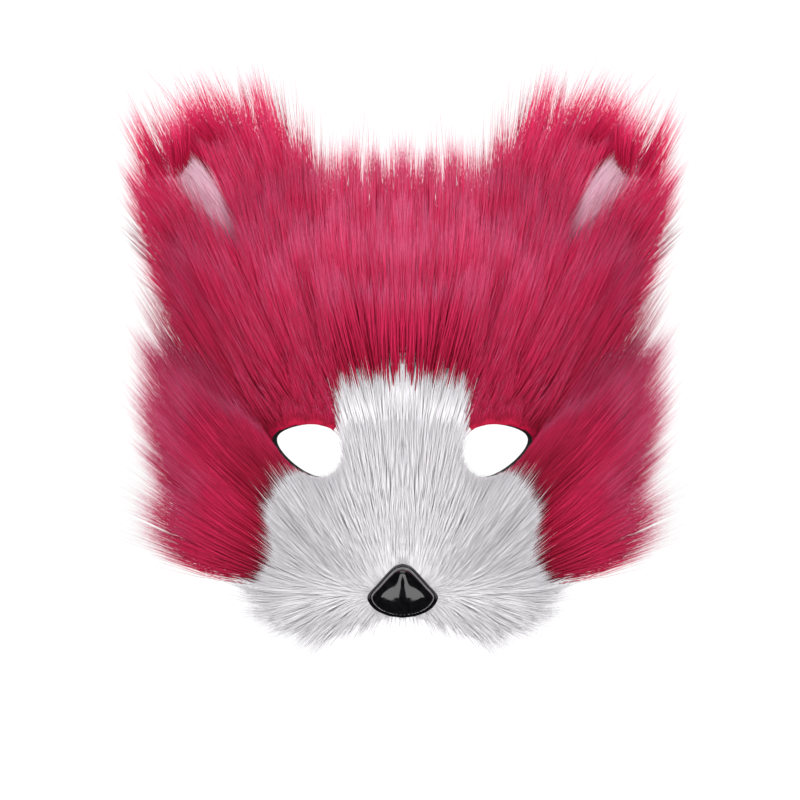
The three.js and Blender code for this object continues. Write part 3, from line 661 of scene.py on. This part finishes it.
def backing_part(at, keep, columns, rows, tone):
    """The knitted backing under the pile: the cells of a grid that keep says are in, as a closed thin sheet."""
    u, v = np.meshgrid(np.linspace(0, 1, columns + 1), np.linspace(0, 1, rows + 1))
    top = at(u, v, 1)
    bottom = at(u, v, 0)
    middle = (top[1:, 1:] + top[:-1, :-1] + top[1:, :-1] + top[:-1, 1:]) / 4
    kept = keep(middle[..., 0], middle[..., 2])
    index = np.arange(u.size).reshape(u.shape)
    corners = np.stack([index[:-1, :-1], index[:-1, 1:], index[1:, 1:], index[1:, :-1]], axis=-1)
    outer = corners[kept]
    inner = outer[:, ::-1] + u.size
    edges = np.concatenate([outer[:, [k, (k + 1) % 4]] for k in range(4)])
    codes = edges[:, 0] * (2 * u.size) + edges[:, 1]
    back = edges[:, 1] * (2 * u.size) + edges[:, 0]
    rim = edges[~np.isin(codes, back)]
    walls = np.stack([rim[:, 1], rim[:, 0], rim[:, 0] + u.size, rim[:, 1] + u.size], axis=-1)
    quads = np.concatenate([outer, inner, walls])
    vertices = np.concatenate([top.reshape(-1, 3), bottom.reshape(-1, 3)])
    used, quads = np.unique(quads, return_inverse=True)
    quads = quads.reshape(-1, 4)
    vertices = vertices[used]
    rim_at = np.unique(np.searchsorted(used, np.concatenate([rim.ravel(), rim.ravel() + u.size])))
    vertices[rim_at] = drawn_to_eye(vertices[rim_at])
    a, b, c, d = (vertices[quads[:, k]] for k in range(4))
    facing = np.cross(c - a, d - b)
    normals = np.stack([np.bincount(quads.ravel(), np.repeat(facing[:, k], 4), len(vertices)) for k in range(3)], 1)
    square = np.array([[0, 0], [0.01, 0], [0.01, 0.02], [0, 0.02]]) + np.array([tone, 0.3])
    return {
        "vertices": vertices,
        "normals": unit(normals),
        "quads": quads,
        "tris": np.zeros((0, 3), int),
        "quad_uv": np.tile(square, (len(quads), 1)),
        "tri_uv": np.zeros((0, 2)),
    }


# Roots of the hairs


def in_panel(x, z, outline):
    """Whether points lie in a panel: the muzzle's outline is cut out of the others."""
    here = inside(x, z, outline) & (eye_radius(x, z) > 1)
    return here if outline is MUZZLE else here & ~inside(x, z, MUZZLE)


def face_roots(rng, count, outline):
    """Roots spread evenly over part of the right half of the face, a little mixed with its neighbours' at the seams."""
    found = []
    have = 0
    while have < count:
        side = rng.uniform(-0.03, 1, 4 * count)
        rise = rng.uniform(0, 1, 4 * count)
        du = inner_face(side + 0.005, rise) - inner_face(side - 0.005, rise)
        dv = inner_face(side, rise + 0.005) - inner_face(side, rise - 0.005)
        area = np.linalg.norm(np.cross(du, dv), axis=1)
        keep = rng.random(len(side)) < area / np.percentile(area, 99.5)
        side, rise = side[keep], rise[keep]
        root = face(side, rise, np.full(side.shape, FOAM_WALL + GAP + 0.9 * BACKING))
        off = rng.uniform(-SEAM_BLEND, SEAM_BLEND, (2, len(root)))
        here = in_panel(root[:, 0] + off[0], root[:, 2] + off[1], outline)
        here &= eye_radius(root[:, 0], root[:, 2]) > 1
        found.append((root[here], face_normal(side[here], rise[here])))
        have += int(here.sum())
    root = np.concatenate([f[0] for f in found])[:count]
    normal = np.concatenate([f[1] for f in found])[:count]
    return root, normal


def ear_roots(rng, count, front):
    rise = rng.uniform(0, 1, 6 * count)
    over = rng.uniform(-0.94, 0.94, len(rise))
    root = ear_point(rise, over, 0.3 if front else EAR_WALL - 0.3)
    step = 0.01
    du = ear_point(rise, over + step, 0) - ear_point(rise, over - step, 0)
    dv = ear_point(rise + step, over, 0) - ear_point(rise - step, over, 0)
    normal = unit(np.cross(du, dv))
    if not front:
        normal = -normal
    keep = inside(root[:, 0], root[:, 2], EAR_CORNER)
    if front:
        along, radius = lining_place(root[:, 0], root[:, 2])
        keep &= (radius > 1) | (along > 0.55)
    return root[keep][:count], normal[keep][:count]


# Materials


def new_material(name):
    material = bpy.data.materials.new(name)
    material.use_nodes = True
    nodes = material.node_tree.nodes
    nodes.clear()
    output = nodes.new("ShaderNodeOutputMaterial")
    shader = nodes.new("ShaderNodeBsdfPrincipled")
    material.node_tree.links.new(shader.outputs["BSDF"], output.inputs["Surface"])
    return material, nodes, material.node_tree.links, shader


def linear(colour):
    c = np.array(colour) / 255
    return (*np.where(c <= 0.04045, c / 12.92, ((c + 0.055) / 1.055) ** 2.4), 1)


def ramp(nodes, stops):
    node = nodes.new("ShaderNodeValToRGB")
    node.color_ramp.interpolation = "EASE"
    while len(node.color_ramp.elements) < len(stops):
        node.color_ramp.elements.new(0.5)
    for element, (place, colour) in zip(node.color_ramp.elements, stops):
        element.position = place
        element.color = linear(colour)
    return node


def fur_material(name, along, dark, light):
    """Pile whose colour runs from root to tip, darker or lighter from hair to hair, and by place where light and shade
    are painted in.
    """
    material, nodes, links, shader = new_material(name)
    place = nodes.new("ShaderNodeUVMap")
    place.uv_map = "OFBake"
    split = nodes.new("ShaderNodeSeparateXYZ")
    links.new(place.outputs["UV"], split.inputs[0])
    colour = ramp(nodes, along)
    links.new(split.outputs["Y"], colour.inputs["Fac"])
    strength = nodes.new("ShaderNodeMapRange")
    strength.inputs["To Min"].default_value = dark
    strength.inputs["To Max"].default_value = light
    links.new(split.outputs["X"], strength.inputs["Value"])
    scaled = nodes.new("ShaderNodeVectorMath")
    scaled.operation = "SCALE"
    links.new(colour.outputs["Color"], scaled.inputs[0])
    links.new(strength.outputs["Result"], scaled.inputs["Scale"])
    links.new(scaled.outputs["Vector"], shader.inputs["Base Color"])
    shader.inputs["Roughness"].default_value = 0.6
    shader.inputs["Specular IOR Level"].default_value = 0.15
    return material


def foam_material():
    material, nodes, links, shader = new_material("black_foam")
    where = nodes.new("ShaderNodeTexCoord")
    cells = nodes.new("ShaderNodeTexVoronoi")
    cells.inputs["Scale"].default_value = 900
    grain = nodes.new("ShaderNodeTexNoise")
    grain.inputs["Scale"].default_value = 140
    links.new(where.outputs["Object"], cells.inputs["Vector"])
    links.new(where.outputs["Object"], grain.inputs["Vector"])
    tint = ramp(nodes, [(0.3, (22, 20, 22)), (0.7, (34, 31, 34))])
    links.new(grain.outputs["Fac"], tint.inputs["Fac"])
    links.new(tint.outputs["Color"], shader.inputs["Base Color"])
    bump = nodes.new("ShaderNodeBump")
    bump.inputs["Strength"].default_value = 0.35
    bump.inputs["Distance"].default_value = 0.0004
    links.new(cells.outputs["Distance"], bump.inputs["Height"])
    links.new(bump.outputs["Normal"], shader.inputs["Normal"])
    shader.inputs["Roughness"].default_value = 0.85
    return material


def nose_material():
    material, nodes, links, shader = new_material("nose_plastic")
    where = nodes.new("ShaderNodeTexCoord")
    grain = nodes.new("ShaderNodeTexNoise")
    grain.inputs["Scale"].default_value = 420
    links.new(where.outputs["Object"], grain.inputs["Vector"])
    rough = nodes.new("ShaderNodeMapRange")
    rough.inputs["To Min"].default_value = 0.05
    rough.inputs["To Max"].default_value = 0.14
    links.new(grain.outputs["Fac"], rough.inputs["Value"])
    links.new(rough.outputs["Result"], shader.inputs["Roughness"])
    tint = ramp(nodes, [(0.35, (5, 5, 6)), (0.65, (11, 10, 12))])
    links.new(grain.outputs["Fac"], tint.inputs["Fac"])
    links.new(tint.outputs["Color"], shader.inputs["Base Color"])
    shader.inputs["Specular IOR Level"].default_value = 0.5
    return material


def elastic_material():
    """Ribbed elastic: cords along the strap, crossed by fine picks."""
    material, nodes, links, shader = new_material("elastic")
    place = nodes.new("ShaderNodeUVMap")
    place.uv_map = "OFBake"
    split = nodes.new("ShaderNodeSeparateXYZ")
    links.new(place.outputs["UV"], split.inputs[0])
    ribs = wave_of(nodes, links, split.outputs["Y"], 14)
    picks = wave_of(nodes, links, split.outputs["X"], 420)
    both = nodes.new("ShaderNodeMath")
    both.operation = "MULTIPLY"
    links.new(ribs, both.inputs[0])
    links.new(picks, both.inputs[1])
    tint = ramp(nodes, [(0.0, (12, 11, 13)), (1.0, (44, 41, 46))])
    links.new(both.outputs[0], tint.inputs["Fac"])
    links.new(tint.outputs["Color"], shader.inputs["Base Color"])
    bump = nodes.new("ShaderNodeBump")
    bump.inputs["Strength"].default_value = 0.6
    bump.inputs["Distance"].default_value = 0.0004
    links.new(both.outputs[0], bump.inputs["Height"])
    links.new(bump.outputs["Normal"], shader.inputs["Normal"])
    shader.inputs["Roughness"].default_value = 0.8
    shader.inputs["Sheen Weight"].default_value = 0.2
    return material


def wave_of(nodes, links, source, times):
    """A soft wave between 0 and 1 that repeats so many times along a coordinate."""
    turn = nodes.new("ShaderNodeMath")
    turn.operation = "MULTIPLY"
    turn.inputs[1].default_value = 2 * np.pi * times
    links.new(source, turn.inputs[0])
    sine = nodes.new("ShaderNodeMath")
    sine.operation = "SINE"
    links.new(turn.outputs[0], sine.inputs[0])
    half = nodes.new("ShaderNodeMath")
    half.operation = "MULTIPLY_ADD"
    half.inputs[1].default_value = 0.5
    half.inputs[2].default_value = 0.5
    links.new(sine.outputs[0], half.inputs[0])
    return half.outputs[0]


# The pieces


def slab_mesh(name, at, columns, rows, material):
    """A closed slab: at(u, v, side), side 1 being the outer."""
    part = backing_part(at, lambda x, z: np.ones(x.shape, bool), columns, rows, 0)
    mesh = mesh_of(name, part["vertices"], [part["quads"]], None, material)
    return mesh


def place_on(x, z, depth):
    """Where on the grid of the face points of the front view lie."""
    side = np.zeros_like(x)
    rise = np.full_like(x, 0.5)
    step = 0.001
    for _ in range(30):
        p = face(side, rise, np.full_like(x, depth))
        du = (face(side + step, rise, np.full_like(x, depth)) - p) / step
        dv = (face(side, rise + step, np.full_like(x, depth)) - p) / step
        det = du[:, 0] * dv[:, 2] - du[:, 2] * dv[:, 0]
        side = side + ((x - p[:, 0]) * dv[:, 2] - (z - p[:, 2]) * dv[:, 0]) / det
        rise = rise + ((z - p[:, 2]) * du[:, 0] - (x - p[:, 0]) * du[:, 2]) / det
    return side, rise


def tube_mesh(name, rings):
    """A closed solid through rings of equal length, capped at both ends."""
    count = len(rings[0])
    vertices = np.concatenate(rings)
    k = np.arange(count)
    after = (k + 1) % count
    quads = []
    for r in range(len(rings) - 1):
        quads.append(np.stack([r * count + after, r * count + k, (r + 1) * count + k, (r + 1) * count + after], 1))
    mesh = mesh_of(name, vertices, [np.concatenate(quads), k[None], (len(rings) - 1) * count + k[None, ::-1]])
    return mesh


def cut(piece, cutters):
    """Cuts closed meshes out of a piece."""
    for cutter in cutters:
        tool = bpy.data.objects.new("cutter", cutter)
        bpy.context.scene.collection.objects.link(tool)
        modifier = piece.modifiers.new("cut", "BOOLEAN")
        modifier.operation = "DIFFERENCE"
        modifier.solver = "EXACT"
        modifier.object = tool
        bpy.context.view_layer.update()
        cleaned = bpy.data.meshes.new_from_object(piece.evaluated_get(bpy.context.evaluated_depsgraph_get()))
        piece.modifiers.clear()
        piece.data = cleaned
        bpy.data.objects.remove(tool)


def sharpen(mesh, degrees):
    mesh.shade_smooth()
    mesh.set_sharp_from_angle(angle=np.radians(degrees))


def eye_cutter():
    x, z = eye_ring(0, 72)
    side, rise = place_on(x, z, FOAM_WALL)
    rim = face(side, rise, np.full(len(x), FOAM_WALL))
    middle_side, middle_rise = place_on(np.array([EYE_X * 1.0]), np.array([EYE_Z]), FOAM_WALL)
    inwards = -face_normal(middle_side, middle_rise)[0]
    front = rim.copy()
    front[:, 1] = -FAR
    return [front, rim, rim + inwards * 4 * FOAM_WALL]


def foam_base(material):
    at = lambda u, v, outer: face(2 * u - 1, v, np.full(u.shape, FOAM_WALL if outer else 0.0))
    mesh = slab_mesh("foam_face", at, 90, 66, material)
    piece = placed("foam_face", mesh, ["mask_base"])
    right = eye_cutter()
    left = [flipped(ring)[::-1] for ring in right]
    cut(piece, [tube_mesh("cutter", right), tube_mesh("cutter", left)])
    piece.data.name = "foam_face"
    sharpen(piece.data, 40)
    return piece


def nose_mesh(material):
    """The moulded nose: a domed crown inside a flange, with a ridge down its middle and a lip below."""
    box_low, box_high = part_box("nose")
    front = box_low[1] / MM
    back = front + NOSE_DEPTH * 0.97
    steps = 112
    rings = 48
    a = np.linspace(0, 2 * np.pi, steps, endpoint=False)
    height = (1 - np.cos(a)) / 2
    half = smooth(NOSE_OUTLINE, height)
    ring_x = NOSE_WIDTH / 2 * half * np.sign(np.sin(a))
    ring_z = NOSE_HEIGHT * (height - 0.5)
    # The share of the way from the rim to the crown, and the outline's depth and size there
    profile = [(0, 0, 0.9), (0.03, 0, 0.94), (0.08, 0.1, 0.99), (0.13, 0.17, 0.995), (0.18, 0.2, 0.955)]
    profile += [(0.23, 0.22, 0.92), (0.3, 0.4, 0.9), (0.45, 0.76, 0.82), (0.65, 0.94, 0.6), (0.85, 0.99, 0.28)]
    profile += [(1, 1, 0)]
    share, depth, size = np.array(profile).T
    s = np.linspace(0, 1, rings)
    size_at = smooth(list(zip(share, size)), s)
    depth_at = smooth(list(zip(share, depth)), s)
    x = size_at[:, None] * ring_x
    z = size_at[:, None] * ring_z
    inner = ease(0.25, 0.6, s)[:, None]
    ridge = NOSE_RIDGE * np.exp(-((x / mix(6.6, 4.4, ease(-8, 8, z))) ** 2)) * inner
    lip = -0.5 * np.exp(-(((z + 8.5) / 1.4) ** 2)) * inner
    y = back - (NOSE_DEPTH * 0.97 - NOSE_RIDGE) * depth_at[:, None] - ridge - lip
    vertices = stacked(x, y, z - NOSE_DROP)
    crown = vertices[-1].mean(axis=0)
    points = np.concatenate([vertices[:-1].reshape(-1, 3), crown[None]])
    k = np.arange(steps)
    after = (k + 1) % steps
    quads = [np.stack([r * steps + k, r * steps + after, (r + 1) * steps + after, (r + 1) * steps + k], 1) for r in range(rings - 2)]
    top = np.stack([(rings - 2) * steps + k, (rings - 2) * steps + after, np.full(steps, len(points) - 1)], 1)
    mesh = mesh_of("glossy_nose", points, [np.concatenate(quads), top, k[None, ::-1]], None, material)
    return mesh


def strap_mesh(material):
    columns = 360
    rows = 10

    def along(side, z, depth):
        bottom, top = edge_heights(side)
        return face(side, (z - bottom) / (top - bottom), depth)

    def at(u, v, outer):
        z = STRAP_HEIGHT + (v - 0.5) * STRAP_WIDTH
        edge = 1 - 0.55 * ease(0.8, 1, np.abs(2 * v - 1))
        middle = -2 * GAP - STRAP_THICKNESS / 2
        depth = middle + (STRAP_THICKNESS / 2 * edge if outer else -STRAP_THICKNESS / 2 * edge)
        near = np.minimum(u, 1 - u) / STRAP_SEWN_SHARE
        sign = np.where(u < 0.5, 1.0, -1.0)
        sewn = along(sign * mix(STRAP_START, 1, np.minimum(near, 1)), z, depth)
        sewn[..., 2] = z
        temple = along(np.ones_like(u), z, depth)
        turn = np.pi * (u - STRAP_SEWN_SHARE) / (1 - 2 * STRAP_SEWN_SHARE)
        back = HEAD_BACK - temple[..., 1] + depth
        free = stacked(temple[..., 0] * np.cos(turn), temple[..., 1] + back * np.sin(turn), z)
        return np.where((near < 1)[..., None], sewn, free)

    part = backing_part(at, lambda x, z: np.ones(x.shape, bool), columns, rows, 0)
    mesh = mesh_of("elastic_strap", part["vertices"], [part["quads"]], [strap_map(part["quads"], columns, rows)], material)
    sharpen(mesh, 50)
    return mesh


def strap_map(quads, columns, rows):
    """Places on the strap, along it and across it."""
    size = (columns + 1) * (rows + 1)
    cell = quads % size
    u = (cell % (columns + 1)) / columns
    v = (cell // (columns + 1)) / rows
    return np.stack([u, v], axis=-1).reshape(-1, 2)


FUR_LOOK = {
    "per_lock": 80,
    "per_wisp": 8,
    "turn": 0.07,
    "bend": 0.04,
    "uneven": 0.14,
    "lift": 14,
    "gather": 0.45,
    "gather_late": 4,
    "wisp": 0.45,
    "wisp_late": 3,
    "stray": 0.06,
    "loose": 0.3,
    "loose_length": 1.3,
    "loose_width": 0.7,
    "wave": 0.25,
    "lock_tone": 0.08,
    "hair_tone": 0.18,
}
WHITE_LOOK = {
    **FUR_LOOK,
    "bend": 0.02,
    "uneven": 0.25,
    "lift": 8,
    "gather": 0.05,
    "wisp": 0.12,
    "stray": 0.03,
    "loose_length": 1.4,
    "wave": 0.15,
    "lock_tone": 0.03,
    "hair_tone": 0.04,
}
EAR_LOOK = {**FUR_LOOK, "uneven": 0.22, "loose": 0.4, "loose_length": 1.55}
TUFT_LOOK = {**FUR_LOOK, "gather": 0.1, "wisp": 0.2, "lock_tone": 0.15, "hair_tone": 0.3}
# How far the pelt's own normal shows in its hairs
FRONT_SHEEN = 0.6
BACK_SHEEN = 0.1
WHITE_SHEEN = 2.5


def hair_part(rng, roots, look, width, painted_shading_at, pelt=FRONT_SHEEN):
    path, lock_tone, fineness = furred(roots, rng, look)
    path, share = trimmed(path, rng)
    keep = share > 0.12
    path, lock_tone, fineness, normal = path[keep], lock_tone[keep], fineness[keep], roots[1][keep]
    # Painted shade and light by each root's place, to which random tone from lock to lock and hair to hair is added
    base = painted_shading_at(path[:, 0, 0], path[:, 0, 2])
    tone = base + look["lock_tone"] * lock_tone + rng.normal(0, look["hair_tone"], len(path))
    widths = width * fineness * spread(rng, len(path), 0.8, 1.15)
    return strand_parts(path, normal, widths, tone, pelt)


def face_backing(outline, tone):
    """The backing of one panel of the right half."""
    at = lambda u, v, outer: face(u, v, np.full(u.shape, FOAM_WALL + GAP + BACKING * outer))
    keep = lambda x, z: in_panel(x, z, outline)
    return backing_part(at, keep, 60, 72, tone)


def painted_eye_shade(x, z):
    """Painted shade: the pile is painted deeper round the eyes, where the sunken sockets lie in shade."""
    return mix(0.1, 0.44, ease(1, 4, eye_radius(x, z)))


# Painted light and shade: the ear's pile is painted lighter towards its top and deeper at its foot
def painted_ear_shading(x, z):
    return mix(0.25, 0.85, ease(70, 150, z))


# Painted shade: the white pile is painted greyer close round the nose
def painted_nose_shade(x, z):
    return mix(0.35, 0.62, ease(10, 40, np.hypot(x, z + NOSE_DROP)))


def face_panel(rng, count, outline, pile, look, width, painted_shading_at, pelt=FRONT_SHEEN):
    root, normal = face_roots(rng, count, outline)
    roots = (root, normal, brushed(root[:, 0], root[:, 2]), pile(root[:, 0], root[:, 2]))
    return joined([face_backing(outline, 0.4), hair_part(rng, roots, look, width, painted_shading_at, pelt)])


def ear_parts(rng, counts, look, width):
    """One ear: its foam leaf under fur, and the corner of the forehead that it grows out of."""
    at = lambda u, v, outer: ear_point(v, 2 * u - 1, 0 if outer else EAR_WALL)
    leaf = backing_part(at, lambda x, z: inside(x, z, EAR_CORNER), 36, 36, 0.45)
    parts = [leaf]
    for front, count, sheen in ((True, counts[0], FRONT_SHEEN), (False, counts[1], BACK_SHEEN)):
        root, normal = ear_roots(rng, count, front)
        x, z = root[:, 0], root[:, 2]
        length = ear_pile(x, z) if front else ear_reach(x, z)
        parts.append(hair_part(rng, (root, normal, ear_brush(x, z), length), look, width, painted_ear_shading, sheen))
    parts.append(face_panel(rng, counts[2], EAR_CORNER, ear_corner_pile, look, width, painted_eye_shade))
    return joined(parts)


def inner_ear_part(rng, count, look, width):
    a = rng.uniform(0, 2 * np.pi, count)
    r = np.sqrt(rng.random(count))
    along = INNER_EAR_LENGTH / 2 * r * np.cos(a)
    over = INNER_EAR_WIDTH / 2 * r * np.sin(a)
    rise, across = ear_place(LINING_CENTRE + LINING_UP * along[:, None] + LINING_ACROSS * over[:, None])
    root = ear_point(rise, across, -GAP - BACKING)
    normal = np.tile([0, -1.0, 0], (count, 1))
    brush = np.tile(LINING_UP, (count, 1))
    to_end = INNER_EAR_LENGTH / 2 * (1 - r * np.cos(a))
    length = np.minimum(to_end + INNER_EAR_SPILL, INNER_EAR_PILE)
    hairs = hair_part(rng, (root, normal, brush, length), look, width, lambda x, z: np.full(x.shape, 0.5))
    at = lambda u, v, outer: ear_point(v, 2 * u - 1, -GAP - BACKING if outer else -GAP)
    backing = backing_part(at, lambda x, z: lining_place(x, z)[1] < 1, 60, 60, 0.3)
    return joined([backing, hairs])


PINK_ALONG = [(0.0, (118, 0, 28)), (0.25, (168, 8, 52)), (0.75, (198, 31, 80)), (1.0, (216, 104, 145))]
# Painted light: the white pile is painted lighter at its roots, standing in for the light that the real one lets
# through from hair to hair
WHITE_ALONG = [(0.0, (252, 250, 253)), (0.4, (238, 235, 239)), (1.0, (206, 203, 208))]
PALE_ALONG = [(0.0, (160, 66, 98)), (0.4, (204, 140, 164)), (1.0, (230, 196, 210))]


def build_fur():
    pink = fur_material("pink_fur", PINK_ALONG, 0.6, 1.2)
    white = fur_material("white_fur", WHITE_ALONG, 0.66, 0.85)
    pale = fur_material("pale_fur", PALE_ALONG, 0.85, 1.15)
    rng = np.random.default_rng(SEED)
    forehead = face_panel(rng, 8500, FOREHEAD, forehead_pile, FUR_LOOK, 0.46, painted_eye_shade)
    placed("forehead_pile", fur_mesh("forehead_pile", joined([forehead, mirrored(forehead)]), pink), ["forehead_fur"])
    muzzle = face_panel(rng, 8400, MUZZLE, muzzle_pile, WHITE_LOOK, 0.5, painted_nose_shade, WHITE_SHEEN)
    placed("muzzle_pile", fur_mesh("muzzle_pile", joined([muzzle, mirrored(muzzle)]), white), ["muzzle_fur"])
    cheek = face_panel(rng, 10500, CHEEK, cheek_pile, FUR_LOOK, 0.42, painted_eye_shade)
    ear = ear_parts(rng, (5700, 3700, 3400), EAR_LOOK, 0.46)
    tuft = inner_ear_part(rng, 1200, TUFT_LOOK, 0.36)
    for name, node, part, material, slot in (
        ("cheek_pile", "cheek_fur", cheek, pink, "pink_fur"),
        ("ear_pile", "ear", ear, pink, "pink_fur"),
        ("ear_tuft", "inner_ear", tuft, pale, "pale_fur"),
    ):
        for side, made in (("right", part), ("left", mirrored(part))):
            mesh = fur_mesh(f"{name}_{side}", made, material)
            placed(f"{name}_{side}", mesh, [f"{node}_{side}"])


def area_light(name, place, size, power, target):
    light = bpy.data.lights.new(name, "AREA")
    light.shape = "RECTANGLE"
    light.size, light.size_y = size
    light.energy = power
    lamp = bpy.data.objects.new(name, light)
    bpy.context.scene.collection.objects.link(lamp)
    lamp.location = place
    lamp.rotation_euler = (Vector(target) - Vector(place)).to_track_quat("-Z", "Y").to_euler()


def build_studio():
    scene = bpy.context.scene
    world = bpy.data.worlds.new("studio")
    world.use_nodes = True
    nodes = world.node_tree.nodes
    background = nodes["Background"]
    background.inputs["Color"].default_value = (1, 1, 1, 1)
    # Glossy pieces mirror a dark studio, and everything else is lit by a white one
    ray = nodes.new("ShaderNodeLightPath")
    strength = nodes.new("ShaderNodeMapRange")
    strength.inputs["To Min"].default_value = 1.05
    strength.inputs["To Max"].default_value = 0.02
    world.node_tree.links.new(ray.outputs["Is Glossy Ray"], strength.inputs["Value"])
    world.node_tree.links.new(strength.outputs["Result"], background.inputs["Strength"])
    scene.world = world
    half = 12.0
    z = FLOOR_Z * MM
    mesh = bpy.data.meshes.new("floor")
    mesh.from_pydata([(-half, -half, z), (half, -half, z), (half, half, z), (-half, half, z)], [], [(0, 1, 2, 3)])
    floor = bpy.data.objects.new("floor", mesh)
    material, nodes, links, shader = new_material("floor")
    shader.inputs["Base Color"].default_value = (0.95, 0.95, 0.95, 1)
    shader.inputs["Roughness"].default_value = 1
    shader.inputs["Specular IOR Level"].default_value = 0
    mesh.materials.append(material)
    scene.collection.objects.link(floor)
    floor.visible_glossy = False
    area_light("left_softbox", (-0.54, -1.2, 0.5), (0.52, 1.7), 11, (0, 0, 0))
    area_light("right_softbox", (0.54, -1.2, 0.5), (0.52, 1.7), 11, (0, 0, 0))
    area_light("top_softbox", (0, 0.2, 1.6), (1.4, 1.0), 10, (0, 0, 0.05))
    camera = bpy.data.cameras.new("camera")
    camera.sensor_width = 36
    camera.lens = 36 * CAMERA_DISTANCE / FRAME_WIDTH
    eye = bpy.data.objects.new("camera", camera)
    scene.collection.objects.link(eye)
    eye.location = (CAMERA_X * MM, -CAMERA_DISTANCE * MM, CAMERA_Z * MM)
    eye.rotation_euler = (np.pi / 2, 0, 0)
    scene.camera = eye
    scene.view_settings.view_transform = "Standard"


def main():
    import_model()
    build_studio()
    foam = foam_material()
    foam_base(foam)
    placed("glossy_nose", nose_mesh(nose_material()), ["nose"])
    placed("elastic_strap", strap_mesh(elastic_material()), ["strap"])
    build_fur()


main()
